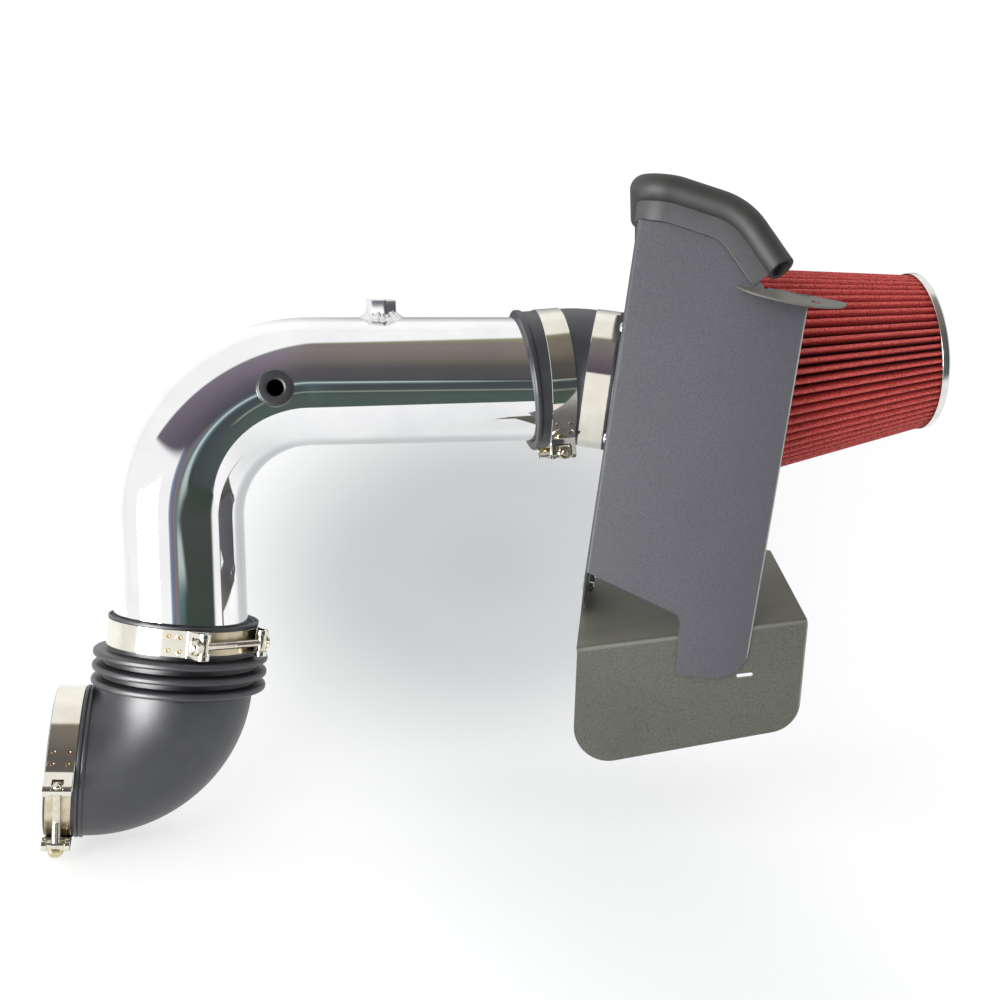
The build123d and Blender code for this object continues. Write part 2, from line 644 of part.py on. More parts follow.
base_r = tip_r(pleat_start) + base_lip
collar_top = base_start + base_depth
rubber = turn_profile(
    [
        (0, base_start), (base_r - 4, base_start), (base_r, base_start + 4), (base_r, collar_top - 2),
        (base_r - 1.5, collar_top), (tip_r(collar_top) + seat_fit, collar_top),
        (tip_r(pleat_start) + seat_fit, pleat_start - seat_fit), (0, pleat_start - seat_fit),
    ]
)
neck_r = pipe_r + hose_fit + neck_wall
neck_reach = filter_offset + pleat_start + neck_r / 2
neck = adapter_at * rod(neck_r, sheet + flange_thick + 0.6, neck_reach)
neck = neck & (filter_at * Pos(0, 0, (base_start + pleat_start) / 2 - 100) * rod(2 * base_r, 0, 100))
through = adapter_at * rod(bore_r, -5, adapter_out + 1)
through += adapter_at * rod(pipe_r - adapter_wall, 0, neck_reach)
nodes["filter_base"] = filter_at * rubber + neck - through

# worm-drive clamp on the filter's neck
neck_band_at = sheet + flange_thick + neck_band_gap
worm = tube(neck_r + band_fit + 0.7, neck_r + band_fit, neck_band_at, neck_band_at + neck_band_width)
nodes["neck_clamp_band"] = adapter_at * worm
housing_r = neck_r + band_fit + 0.7
housing_x = housing_r + 4.2
housing_z = neck_band_at + neck_band_width / 2
housing = Pos(housing_x, 0, housing_z) * Box(8.8, 2 * worm_half, neck_band_width + 2.2)
housing -= rod(housing_r + 0.05, 0, 60)
worm_axis = Pos(housing_x + 0.4, 0, housing_z) * Rotation(-90, 0, 0)
housing -= worm_axis * rod(3.4, -30, 30)
nodes["neck_clamp_housing"] = adapter_at * housing
worm_screw = worm_axis * rod(3.2, -worm_half - 1, worm_half + 1)
worm_screw += worm_axis * Pos(0, 0, worm_half + 1) * extrude(RegularPolygon(4.2, 6), 5)
nodes["neck_clamp_screw"] = adapter_at * worm_screw

os.makedirs("parts", exist_ok=True)
for name, solid in nodes.items():
    export_step(part_at * solid, f"parts/{name}.step")
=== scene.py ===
"""Cold air intake: mirror-polished pipe, rubber hoses, T-bolt clamps, powder-coated heat shield, cone filter.

Each new piece is a surface worked out with numpy in millimetres, in the part's own frame, and put into a
mesh in metres. +Z is up as fitted, the pipe's long run goes along +X, and -Y is the side that is seen.
"""
import itertools

import bmesh
import bpy
import numpy as np
from mathutils import Matrix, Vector
from mathutils.geometry import delaunay_2d_cdt


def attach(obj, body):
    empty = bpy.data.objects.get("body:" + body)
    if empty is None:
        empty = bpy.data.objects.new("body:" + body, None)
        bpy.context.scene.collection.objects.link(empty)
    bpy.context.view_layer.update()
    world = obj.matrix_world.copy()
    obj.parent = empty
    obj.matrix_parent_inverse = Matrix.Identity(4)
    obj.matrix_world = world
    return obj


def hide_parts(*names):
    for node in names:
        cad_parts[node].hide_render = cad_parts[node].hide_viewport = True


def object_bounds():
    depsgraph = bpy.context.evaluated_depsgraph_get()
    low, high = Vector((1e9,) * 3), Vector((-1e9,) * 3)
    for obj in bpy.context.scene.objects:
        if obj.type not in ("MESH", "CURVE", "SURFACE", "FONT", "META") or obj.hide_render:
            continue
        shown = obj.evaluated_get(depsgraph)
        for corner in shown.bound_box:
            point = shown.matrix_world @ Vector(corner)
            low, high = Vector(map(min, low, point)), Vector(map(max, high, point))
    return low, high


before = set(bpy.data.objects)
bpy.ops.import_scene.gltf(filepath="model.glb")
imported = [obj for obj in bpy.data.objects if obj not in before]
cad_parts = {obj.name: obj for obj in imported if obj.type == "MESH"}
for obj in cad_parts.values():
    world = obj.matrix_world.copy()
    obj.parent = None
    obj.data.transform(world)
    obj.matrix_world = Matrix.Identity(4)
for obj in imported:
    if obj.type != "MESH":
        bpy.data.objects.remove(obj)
cad_low, cad_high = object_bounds()

MM = 0.001
rng = np.random.default_rng(7)

# sizes in mm, as in the solids but for strap_step, ear_tilt, slot_size and slot_at
pipe_r, pipe_wall, bend_radius, run_length, riser_length = 50.8, 1.65, 105.0, 207.0, 121.0
hose_r, hose_fit = 56.5, 0.15
elbow_leg, outlet_leg, elbow_radius, elbow_grip, socket_shift = 115.4, 89.6, 61.0, 43.0, 2.445
rib_start, rib_pitch, rib_count, rib_height = 29.0, 11.0, 3, 10.0
coupler_in, coupler_out, coupler_knee, lip_cut = 44.5, 33.0, 10.5, 3.6
band_width, band_thick, bolt_span, bolt_r, trunnion_r = 20.0, 0.8, 54.0, 3.0, 4.0
nut_flats, nut_height, trunnion_flat, bolt_tail = 10.0, 6.0, 2.6, 5.0
strap_weld, strap_step, strap_bend, knob_reach, head_reach = 9.0, 12.5, 2.5, 4.9, 10.2
sheet, sheet_bend, panel_reach = 1.5, 3.0, 104.0
panel_width, panel_top, panel_fold_end, ledge = 130.5, 128.25, -143.0, 84.0
panel_notch, tab_left, tab_end = (76.0, -165.0), 80.5, -211.0
wall_back, wall_foot = 98.0, -6.0
ear_width, ear_depth, ear_tilt, ear_fall, ear_left, ear_hole_r = 82.5, 42.0, 22.0, 3.3, 74.6, 3.5
floor_slope, floor_tilt, floor_depth, floor_left, floor_level = 16.9, 4.0, 224.0, 2.0, -203.4
flap_width, flap_drop, flap_shear, flap_corner, fold_reach = 175.0, (93.8, 82.2), 17.6, 26.0, 3.2
flange_height, flange_start, flange_length = 24.0, 112.0, 78.0
slot_size, slot_at = (12.0, 2.6), (123.4, -36.5)
bulb_od, bulb_id, clip_width, clip_depth, strip_seat = 20.5, 14.5, 6.4, 13.5, 7.0
strip_corner, strip_knee, strip_falls, strip_runs = 17.0, 50.0, (10.9, 46.5), (1.0, 29.5, 31.0)
strip_fit, strip_inset, strip_over, strip_slant = 0.15, 2.0, 3.0, 0.45
adapter_wall, adapter_in, adapter_out = 3.0, 22.0, 30.0
flange_r, flange_thick, screw_circle, screw_r, screw_nut_flats = 69.0, 3.0, 62.5, 2.5, 8.0
filter_length, filter_base_r, filter_end_r = 240.2, 100.0, 62.5
pleat_count, pleat_depth, per_pleat, cap_depth = 64, 11.0, 14, 6.5
base_start, base_depth, base_lip, base_hole_r, cap_over = 31.0, 24.0, 3.0, 37.0, 2.2
neck_wall, neck_top, neck_band_width, neck_band_thick, worm_half = 5.0, 66.0, 12.7, 0.7, 9.0
bung_at, bung_clock, bung_flats, bung_height, bung_bore, bung_hole = 162.8, 8.0, 22.0, 14.0, 6.6, 7.2
grommet_angle, grommet_inset, grommet_r, grommet_bore, grommet_proud = 15.8, 3.5, 14.5, 6.2, 5.2
grommet_neck, grommet_hole, keeper_r, keeper_low, keeper_top = 10.6, 9.0, 12.4, 42.5, 45.6


# frames


def placed(origin, x_dir, z_dir):
    """Frame at origin with z exactly along z_dir and x as near to x_dir as a right angle allows."""
    z = np.array(z_dir) / np.linalg.norm(z_dir)
    x = np.array(x_dir) - z * np.dot(x_dir, z)
    x /= np.linalg.norm(x)
    made = np.eye(4)
    made[:3] = np.column_stack([x, np.cross(z, x), z, origin])
    return made


def shift(x, y, z):
    """Frame moved by x, y and z, without a turn."""
    made = np.eye(4)
    made[:3, 3] = x, y, z
    return made


def turn(angle, axis):
    """Frame turned by an angle in degrees round one of its axes."""
    return np.array(Matrix.Rotation(np.radians(angle), 4, axis))


PIPE = shift(99.468, 5.782, 287.675)
ELBOW = placed((88.838, 5.782, -10.122), (0.9915, 0.06453, -0.11297), (0.1132, 0, 0.99357))
OUTLET = ELBOW @ turn(-90, "Y")
COUPLER = placed((423.161, 4.312, 289.638), (0.06966, -0.00365, -0.99756), (0.9962, -0.05221, 0.06976))
COUPLER_OUT = placed(COUPLER[:3, 3], (-0.13606, 0.12152, -0.98322), (0.94036, -0.29649, -0.16677))
SHIELD = placed((455.133, -5.768, 283.968), (0.94036, -0.29649, -0.16677), (0.13606, -0.12152, 0.98322))
WALL = SHIELD @ placed((0, 0, 0), (0, 1, 0), (1, 0, 0))
ADAPTER = SHIELD @ turn(90, "Y")
FILTER = placed((471.401, -10.897, 281.083), (0.09613, -0.01678, -0.99523), (0.98041, -0.17111, 0.09758))
BASE = SHIELD @ shift(floor_left, sheet - panel_reach, floor_level) @ turn(-floor_slope, "Y")
FLIP = turn(180, "X")


# shapes


def unit(v):
    """A vector divided by its length."""
    return v / np.linalg.norm(v)


def around(count):
    """Even angles in degrees, once round."""
    return np.linspace(0, 360, count, endpoint=False)


def polar(r, angle):
    """Points at radius r and at angles in degrees, in a plane."""
    a = np.radians(angle)
    return np.stack(np.broadcast_arrays(r * np.cos(a), r * np.sin(a)), -1)


def arc(centre, r, a0, a1, step):
    """Points at radius r round a centre from angle a0 to a1, about step degrees apart."""
    count = max(2, int(abs(a1 - a0) / step) + 1)
    return np.asarray(centre) + polar(r, np.linspace(a0, a1, count))


def rounded(points, radii, steps=5, closed=True):
    """Polyline with each corner replaced by the arc of its radius that touches both of its sides."""
    points = np.asarray(points, float)
    radii = np.broadcast_to(np.asarray(radii, float), len(points))
    out = []
    for i, (p, r) in enumerate(zip(points, radii)):
        if r <= 0 or (not closed and i in (0, len(points) - 1)):
            out.append(p[None])
            continue
        a, b = unit(points[i - 1] - p), unit(points[(i + 1) % len(points)] - p)
        half = np.arccos(np.clip(a @ b, -1, 1)) / 2
        centre = p + unit(a + b) * r / np.sin(half)
        first = p + a * r / np.tan(half) - centre
        last = p + b * r / np.tan(half) - centre
        sweep = np.pi - 2 * half
        across = (last - first * np.cos(sweep)) / np.sin(sweep)
        t = np.linspace(0, sweep, steps + 1)[:, None]
        out.append(centre + np.cos(t) * first + np.sin(t) * across)
    return np.vstack(out)


def moved(here, distance, radius, side):
    """Frames at distances ahead of one frame, on its z line or on a bend of that radius towards side."""
    made = np.repeat(here[None], len(distance), 0)
    x, y, z, spot = here[:3, 0], here[:3, 1], here[:3, 2], here[:3, 3]
    if not radius:
        made[:, :3, 3] += distance[:, None] * z
        return made
    a = (distance / radius)[:, None]
    inward = side[0] * x + side[1] * y
    across = side[0] * y - side[1] * x
    bent = np.cos(a) * inward - np.sin(a) * z
    made[:, :3, 0] = side[0] * bent - side[1] * across
    made[:, :3, 1] = side[1] * bent + side[0] * across
    made[:, :3, 2] = np.cos(a) * z + np.sin(a) * inward
    made[:, :3, 3] = spot + radius * ((1 - np.cos(a)) * inward + np.sin(a) * z)
    return made


def along(start, steps, s):
    """Frames at distances s on a path of steps (length, radius, side), where radius 0 is a straight."""
    s = np.asarray(s, float)
    made = np.empty((len(s), 4, 4))
    begin, here = 0.0, start
    for i, (length, radius, side) in enumerate(steps):
        picked = (s >= begin) | (i == 0)
        if i + 1 < len(steps):
            picked &= s < begin + length
        made[picked] = moved(here, s[picked] - begin, radius, side)
        here = moved(here, np.array([length]), radius, side)[0]
        begin += length
    return made


def carried(frames, section):
    """A section of (x, y) points, one for all or one for each frame, carried along the frames."""
    section = np.broadcast_to(section, (len(frames), *np.shape(section)[-2:]))
    sides = section[..., :1] * frames[:, None, :3, 0] + section[..., 1:] * frames[:, None, :3, 1]
    return frames[:, None, :3, 3] + sides


def skin(grid, wrap_u=False, wrap_v=False):
    """Quads over a grid of points, which may close on itself either way."""
    index = np.arange(grid.shape[0] * grid.shape[1]).reshape(grid.shape[:2])
    if wrap_u:
        index = np.vstack([index, index[:1]])
    if wrap_v:
        index = np.hstack([index, index[:, :1]])
    quads = np.stack([index[:-1, :-1], index[1:, :-1], index[1:, 1:], index[:-1, 1:]], -1)
    return grid.reshape(-1, 3), quads.reshape(-1, 4).tolist()


def in_frame(place, points):
    """Points given in a frame, as points of the part."""
    return np.asarray(points, float) @ place[:3, :3].T + place[:3, 3]


def lathe(place, profile, count=96, closed=False):
    """Profile of (radius, height) turned once round the frame's z; both may vary with the angle."""
    angle = around(count)
    rows = [np.column_stack([polar(r, angle), np.broadcast_to(z, count)]) for r, z in profile]
    return skin(in_frame(place, np.array(rows)), closed, True)


def bar(place, outline, z0, z1, chamfer):
    """Prism: outline of (x, y) points from z0 to z1, its end edges broken by a chamfer."""
    outline = np.asarray(outline, float)
    middle = outline.mean(0)
    reach = np.linalg.norm(outline - middle, axis=1).max()
    small = middle + (outline - middle) * (1 - chamfer / reach)
    levels = [(small, z0), (outline, z0 + chamfer), (outline, z1 - chamfer), (small, z1)]
    grid = np.array([np.column_stack([o, np.full(len(o), z)]) for o, z in levels])
    points, faces = skin(in_frame(place, grid), wrap_v=True)
    count = len(outline)
    return points, faces + [list(range(count))[::-1], list(range(3 * count, 4 * count))]


def filled(loops):
    """Triangles inside the first loop and outside the others, by the even-odd rule at each one's centre."""
    flat = np.vstack(loops)
    after = np.arange(1, len(flat) + 1)
    ends = np.cumsum([len(loop) for loop in loops])
    after[ends - 1] = np.r_[0, ends[:-1]]
    pairs = np.column_stack([np.arange(len(flat)), after])
    faces = np.array(delaunay_2d_cdt(flat.tolist(), pairs.tolist(), [], 0, 1e-6)[2])
    x, y = flat[faces].mean(1).T
    (x0, y0), (x1, y1) = flat.T[..., None], flat[after].T[..., None]
    level = np.where(y1 == y0, 1.0, y1 - y0)
    crossed = ((y0 > y) != (y1 > y)) & (x0 + (y - y0) * (x1 - x0) / level > x)
    return flat, faces[crossed.sum(0) % 2 == 1], pairs


def plate(place, outline, holes=(), open_sides=()):
    """Sheet metal up from z = 0 with holes through it; sides in open_sides have no edge face."""
    flat, faces, pairs = filled([outline, *holes])
    lift = len(flat)
    base = np.column_stack([flat, np.zeros(lift)])
    a, b = pairs[~np.isin(pairs[:, 0], open_sides)].T
    sides = np.column_stack([a, b, b + lift, a + lift]).tolist()
    points = np.vstack([base, base + (0, 0, sheet)])
    return in_frame(place, points), faces[:, ::-1].tolist() + (faces + lift).tolist() + sides


def hex_radius(flats, angle):
    """Radius of a hexagon of that size across its flats at each angle."""
    return flats / 2 / np.cos(np.radians((angle + 30) % 60 - 30))


def strap(place, path, low, high, thick=band_thick):
    """Metal strap: a thin broken-edged section between heights low and high, carried along a flat path."""
    ahead = np.gradient(path, axis=0)
    ahead /= np.linalg.norm(ahead, axis=1, keepdims=True)
    left = np.column_stack([-ahead[:, 1], ahead[:, 0]])
    low, high = np.broadcast_to(low, len(path)), np.broadcast_to(high, len(path))
    edge, half = 0.28, thick / 2
    rows = [(low + edge, half), (high - edge, half), (high, half - edge), (high, edge - half)]
    rows += [(high - edge, -half), (low + edge, -half), (low, edge - half), (low, half - edge)]
    grid = np.stack([np.column_stack([path + side * left, z]) for z, side in rows], 1)
    points, faces = skin(in_frame(place, grid), wrap_v=True)
    last = len(points)
    return points, faces + [list(range(8)), list(range(last - 8, last))[::-1]]


def joined(*shapes):
    """Several shapes as one list of points and one list of faces."""
    starts = np.cumsum([0, *[len(points) for points, _ in shapes]])
    faces = [(np.array(face) + a).tolist() for a, (_, some) in zip(starts, shapes) for face in some]
    return np.vstack([points for points, _ in shapes]), faces


def piece(name, shape, coat, slot, nodes=(), sharp=35.0, bevel=0.0, outward=True, pale_tone=None):
    """One visible piece: mesh in metres, outward faces, smooth up to the sharp angle, riding on the part."""
    points, faces = shape
    mesh = bpy.data.meshes.new(name)
    mesh.from_pydata((points * MM).tolist(), [], faces)
    work = bmesh.new()
    work.from_mesh(mesh)
    bmesh.ops.remove_doubles(work, verts=work.verts, dist=2e-6)
    if outward:
        bmesh.ops.recalc_face_normals(work, faces=work.faces)
    work.to_mesh(mesh)
    work.free()
    mesh.shade_smooth()
    mesh.set_sharp_from_angle(angle=np.radians(sharp))
    made = bpy.data.objects.new(name, mesh)
    bpy.context.scene.collection.objects.link(made)
    mesh.materials.append(coat)
    if bevel:
        edge = made.modifiers.new("edge", "BEVEL")
        edge.width = bevel * MM
        edge.segments = 2
        edge.limit_method = "ANGLE"
        edge.angle_limit = np.radians(40)
        edge.harden_normals = True
        # the bevels take the second material, which paints the edges pale: painted edge highlight
        mesh.materials.append(pale_tone)
        edge.material = 1
    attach(made, "root")
    if nodes:
        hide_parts(*nodes)
    return made


def folded(made, place, depth):
    """Mark how deep in a fold each point lies: depth takes a point's radius and height in a frame, in mm. The
    rubber and the gauze darken by this mark as painted shade.
    """
    where = np.empty(3 * len(made.data.vertices), np.float32)
    made.data.vertices.foreach_get("co", where)
    x, y, z = ((where.reshape(-1, 3) / MM - place[:3, 3]) @ place[:3, :3]).T
    mark = made.data.attributes.new("fold", "FLOAT", "POINT")
    mark.data.foreach_set("value", np.clip(depth(np.hypot(x, y), z), 0, 1).astype(np.float32))


# finishes


def linear(code):
    """sRGB hex value as linear red, green, blue and alpha."""
    value = np.array([int(code[i : i + 2], 16) for i in (1, 3, 5)]) / 255
    value = np.where(value <= 0.04045, value / 12.92, ((value + 0.055) / 1.055) ** 2.4)
    return (*value.tolist(), 1.0)


def add(tree, kind, links=None, inputs=None, stops=(), **settings):
    """A new node, or one that is there, given its settings, values, links and (position, hex) colour stops.

    A link comes from a socket, or from the first output that a node has in use.
    """
    made = tree.nodes.new("ShaderNode" + kind) if isinstance(kind, str) else kind
    for key, value in settings.items():
        setattr(made, key, value)
    for key, value in (inputs or {}).items():
        made.inputs[key].default_value = value
    for key, source in (links or {}).items():
        if isinstance(source, bpy.types.Node):
            source = next(socket for socket in source.outputs if socket.enabled)
        tree.links.new(source, made.inputs[key])
    for i, (position, code) in enumerate(stops):
        marks = made.color_ramp.elements
        mark = marks[i] if i < 2 else marks.new(position)
        mark.position, mark.color = position, linear(code)
    return made


def blank(name, **inputs):
    """A material with a principled shader, and its tree, shader and object coordinates to work on."""
    made = bpy.data.materials.new(name)
    made.use_nodes = True
    tree = made.node_tree
    shader = tree.nodes["Principled BSDF"]
    for key, value in inputs.items():
        shader.inputs[key.replace("_", " ")].default_value = value
    return made, tree, shader, add(tree, "TexCoord").outputs["Object"]


def finish(name, pattern, stops, kind="TexNoise", **inputs):
    """A material coloured by a pattern through colour stops, and its nodes to work on."""
    made, tree, shader, place = blank(name, **inputs)
    marks = add(tree, kind, {"Vector": place}, pattern)
    tone = add(tree, "ValToRGB", {"Fac": marks}, stops=stops)
    add(tree, shader, {"Base Color": tone})
    return made, tree, shader, place, marks, tone


MULTIPLIED = {"inputs": {"Factor": 1.0}, "data_type": "RGBA", "blend_type": "MULTIPLY"}


def metal(name, dark, light, gloss, size, detail=5.0, spread=0.18, dent=0.0):
    """Bare or plated metal: marks of about size mm shift its tone and its gloss, and may dent its surface."""
    tones = [(0.5 - spread, dark), (0.5 + spread, light)]
    pattern = {"Scale": 1 / (size * MM), "Detail": detail}
    made, tree, shader, _, marks, _ = finish(name, pattern, tones, Metallic=1.0, Roughness=gloss[0])
    if gloss[1] > gloss[0]:
        limits = {"To Min": gloss[0], "To Max": gloss[1]}
        add(tree, shader, {"Roughness": add(tree, "MapRange", {"Value": marks}, limits)})
    if dent:
        bump = add(tree, "Bump", {"Height": marks}, {"Strength": dent, "Distance": 0.0006})
        add(tree, shader, {"Normal": bump})
    return made


# tube buffed by hand, so that its mirror gloss is a little cloudy; its inside is dull and grey, as drawn
aluminium = metal("polished aluminium", "#eeeef0", "#f7f7f7", (0.02, 0.06), 100 / 3, 5.0, 0.2)
mill = metal("mill-finish aluminium", "#57585a", "#77787a", (0.55, 0.55), 5.0, 4.0, 0.2)
# machined faces with fine tool marks, and the bright ripples of a weld
machined = metal("machined aluminium", "#dcdddf", "#f0f0f0", (0.2, 0.2), 1.1, 3.0, 0.2, 0.12)
weld_bead = metal("aluminium weld bead", "#d6d6d8", "#f0f0f0", (0.16, 0.16), 2.6, 3.0, 0.2, 0.5)
# rolled strip and fasteners: bright and a little warm, with a soft change of tone; the welds are heat-tinted
stainless = metal("bright rolled stainless steel", "#e3dfd2", "#ebe7dc", (0.049, 0.091), 12.0)
satin = metal("satin stainless steel", "#c3b698", "#d8cfb9", (0.21, 0.39), 8.0)
nickel = metal("nickel plated steel", "#d6cfbe", "#e6e0d2", (0.098, 0.182), 5.0)
yellow_zinc = metal("yellow zinc plate", "#c9bb92", "#dfd5b8", (0.126, 0.234), 3.0)
zinc = metal("bright zinc plate", "#bdbdbc", "#d6d6d4", (0.154, 0.286), 5.0)
cap_steel = metal("polished stainless steel", "#d9d9d7", "#e8e8e6", (0.14, 0.26), 20.0)
weld_tint = metal("heat-tinted spot weld", "#7d654b", "#b09c80", (0.21, 0.39), 1.5)


def rubber(name, dark, light, roughness, grain, depth):
    """Moulded black rubber: satin, with a moulded grain of about grain mm, paler dust, and painted shade that
    darkens its folds.
    """
    pattern, tones = {"Scale": 45.0, "Detail": 6.0, "Roughness": 0.6}, [(0.35, dark), (0.75, light)]
    made, tree, shader, place, _, tone = finish(
        name, pattern, tones, Roughness=roughness, Specular_IOR_Level=0.7
    )
    fold = add(tree, "Attribute", attribute_name="fold").outputs["Fac"]
    # painted shade: the deeper a point lies in a fold, the darker its colour
    deep = add(tree, "ValToRGB", {"Fac": fold}, stops=[(0.1, "#ffffff"), (0.7, "#6a6a70")])
    both = add(tree, "Mix", {"A": tone, "B": deep}, **MULTIPLIED)
    fine = add(tree, "TexNoise", {"Vector": place}, {"Scale": 1 / (grain * MM), "Detail": 2.0})
    dent = add(tree, "Bump", {"Height": fine}, {"Strength": depth, "Distance": 0.0003})
    add(tree, shader, {"Base Color": both, "Normal": dent})
    return made


hose_rubber = rubber("moulded EPDM rubber", "#303136", "#3a3b40", 0.41, 1.2, 0.05)
grommet_rubber = rubber("nitrile grommet rubber", "#242528", "#303134", 0.4, 1.0, 0.08)
# the strip's hollow is painted nearly black: painted shade inside it
painted_shade_rubber = rubber("sponge rubber painted dark as shade", "#0a0a0b", "#121213", 0.8, 0.9, 0.2)
strip_rubber = rubber("sponge rubber", "#252624", "#32322f", 0.6, 0.9, 0.25)
clip_rubber = rubber("ribbed clip rubber", "#3d3d40", "#4a4a4d", 0.6, 0.9, 0.4)


def powder_coat(name, dark, light, roughness, haze, light_and_shade_marks=()):
    """Baked powder coat: satin, with the fine orange-peel grain that the powder leaves, drawn at 0.7 mm.

    Each mark of painted light and shade is a colour and limits (direction, start, full) in mm: its share
    rises along each direction.
    """
    pattern, tones = {"Scale": 1400.0, "Detail": 3.0, "Roughness": 0.7}, [(0.3, dark), (0.7, light)]
    made, tree, shader, place, grain, tone = finish(
        name, pattern, tones, Roughness=roughness, Specular_IOR_Level=0.35
    )
    film = add(tree, "TexNoise", {"Vector": place}, {"Scale": 14.0, "Detail": 3.0})
    pale_tone = add(tree, "ValToRGB", {"Fac": film}, stops=[(0.35, haze), (0.65, "#ffffff")])
    tone = add(tree, "Mix", {"A": tone, "B": pale_tone}, **MULTIPLIED)
    for code, limits in light_and_shade_marks:
        share = add(tree, "MapRange", {"Value": film}, {"From Min": 0.2, "From Max": 0.5})
        for way, start, full in limits:
            reach = add(tree, "VectorMath", {0: place}, {1: way}, operation="DOT_PRODUCT")
            step = {"From Min": start * MM, "From Max": full * MM}
            reach = add(tree, "MapRange", {"Value": reach}, step)
            share = add(tree, "Math", {0: share, 1: reach}, operation="MULTIPLY")
        tone = add(tree, "Mix", {"Factor": share, "A": tone}, {"B": linear(code)}, data_type="RGBA")
    dent = add(tree, "Bump", {"Height": grain}, {"Strength": 0.25, "Distance": 0.0003})
    add(tree, shader, {"Base Color": tone, "Normal": dent})
    return made


def limit(place, way, start, full):
    """A limit of a painted mark of light and shade, from start to full along a direction of a frame."""
    way = place[:3, :3] @ way
    return (*way,), start + place[:3, 3] @ way, full + place[:3, 3] @ way


right, back, up = np.eye(3)
flap_side = unit(np.array((flap_drop[1] - fold_reach, 0, -flap_shear)))
flap_line = flap_side @ (flap_width, 0, -fold_reach)
below_ear = limit(SHIELD, up, ledge - 9, ledge - 13)
panel_light_and_shade = [
    # painted shade: darker towards the panel's right, below the ear
    ("#4a4b52", [limit(SHIELD, right, panel_width - 50, panel_width + 40), below_ear]),
    # painted light: a paler, warmer tone on the ear's top where it lies in front of the panel
    ("#66645d", [limit(SHIELD, back, -panel_reach - 0.2, -panel_reach - 1.4)]),
    # painted highlight: a thin pale line along the panel's right edge, below the ear
    ("#9a9a95", [limit(SHIELD, right, panel_width - 1.2, panel_width - 0.6), below_ear]),
]
base_painted_light = [
    # painted light: the floor's upturned face made lighter
    ("#6d6d60", [limit(BASE, back, 3.0, 8.0)]),
    # painted highlight: a pale line along the fold's outer bend
    ("#7f7f75", [limit(BASE, back, 3.0, 1.0), limit(BASE, up, -3.2, -1.2)]),
    # painted highlight: a thin pale line along the flap's right edge
    ("#93938a", [limit(BASE, flap_side, flap_line - 1.6, flap_line - 0.6)]),
]
panel_coat = powder_coat("grey powder coat", "#47474d", "#6a6a71", 0.5, "#f6f6f6", panel_light_and_shade)
base_coat = powder_coat("grey-green powder coat", "#3d3e38", "#737469", 0.5, "#f0f0f0", base_painted_light)
# pale coat for the bevelled edges: painted highlight along them
edge_highlight_coat = powder_coat("powder coat, edges painted pale as highlight", "#a9a9a2", "#c6c6be", 0.4, "#e0e0e0")

# oiled cotton gauze under a fine wire mesh: red on the pleat tips, and painted shade that darkens it to
# nearly black red in the folds
tones = [(0.1, "#ffffff"), (0.75, "#9c9090")]
gauze, tree, shader, _, weave, speck = finish(
    "oiled cotton gauze", {"Scale": 900.0}, tones, "TexVoronoi", Roughness=0.7
)
fold = add(tree, "Attribute", attribute_name="fold").outputs["Fac"]
fold_shaded_reds = [(0.0, "#ea615a"), (0.25, "#da4a45"), (0.6, "#ad3735"), (1.0, "#330b0c")]
deep = add(tree, "ValToRGB", {"Fac": fold}, stops=fold_shaded_reds)
both = add(tree, "Mix", {"A": deep, "B": speck}, **MULTIPLIED)
dent = add(tree, "Bump", {"Height": weave}, {"Strength": 0.4, "Distance": 0.0005})
add(tree, shader, {"Base Color": both, "Normal": dent})


# pipe with its two fittings
bend_arc = bend_radius * np.pi / 2
pipe_steps = [(riser_length, 0, None), (bend_arc, bend_radius, (1, 0)), (run_length, 0, None)]
pipe_start = PIPE @ shift(0, 0, -bend_radius - riser_length)
pipe_length = riser_length + bend_arc + run_length
turns = around(160)
outside = np.r_[0.0, np.linspace(1.0, riser_length, 14), riser_length + np.linspace(0, bend_arc, 84)[1:]]
outside = np.r_[outside, riser_length + bend_arc + np.linspace(0, run_length - 1, 100)[1:], pipe_length]
inside = np.linspace(0, pipe_length, 90)
outer = carried(along(pipe_start, pipe_steps, outside), polar(pipe_r, turns))
inner = carried(along(pipe_start, pipe_steps, inside), polar(pipe_r - pipe_wall, turns))
bung_frame = PIPE @ shift(bung_at, 0, 0) @ turn(bung_clock, "X")
grommet_x, grommet_z = polar(bend_radius - grommet_inset, 90 + grommet_angle)
grommet_frame = PIPE @ shift(bend_radius + grommet_x, 0, grommet_z - bend_radius) @ turn(90, "X")


def drilled(grid):
    """Quads over a grid of tube rings, without those that lie over the two fittings' holes."""
    points, faces = skin(grid, wrap_v=True)
    centres = points[np.array(faces)].mean(1)
    kept = np.ones(len(faces), bool)
    for hole, reach in ((bung_frame, bung_hole), (grommet_frame, grommet_hole)):
        local = (centres - hole[:3, 3]) @ hole[:3, :3]
        kept &= (np.hypot(local[:, 0], local[:, 1]) > reach) | (local[:, 2] < 0)
    return points, np.array(faces)[kept].tolist()


tube = drilled(np.concatenate([inner[:1], outer, inner[-1:]]))
piece("intake_pipe_polished", tube, aluminium, "polished_aluminium", ["intake_pipe"], outward=False)
piece("intake_pipe_bore", drilled(inner[::-1]), mill, "polished_aluminium", outward=False)

bung_top = pipe_r + bung_height
boss_turn = around(90)
six = np.minimum(hex_radius(bung_flats, boss_turn - 12), bung_flats / np.sqrt(3) - 0.5)
lands = [(six * 0.97, pipe_r - 6), (six, pipe_r - 5), (six, bung_top - 1.0), (six * 0.95, bung_top - 0.15)]
lands += [(six * 0.92, bung_top), (7.8, bung_top), (bung_bore, bung_top - 1.2), (bung_bore, pipe_r - 1.6)]
boss = lathe(bung_frame, lands, len(boss_turn))


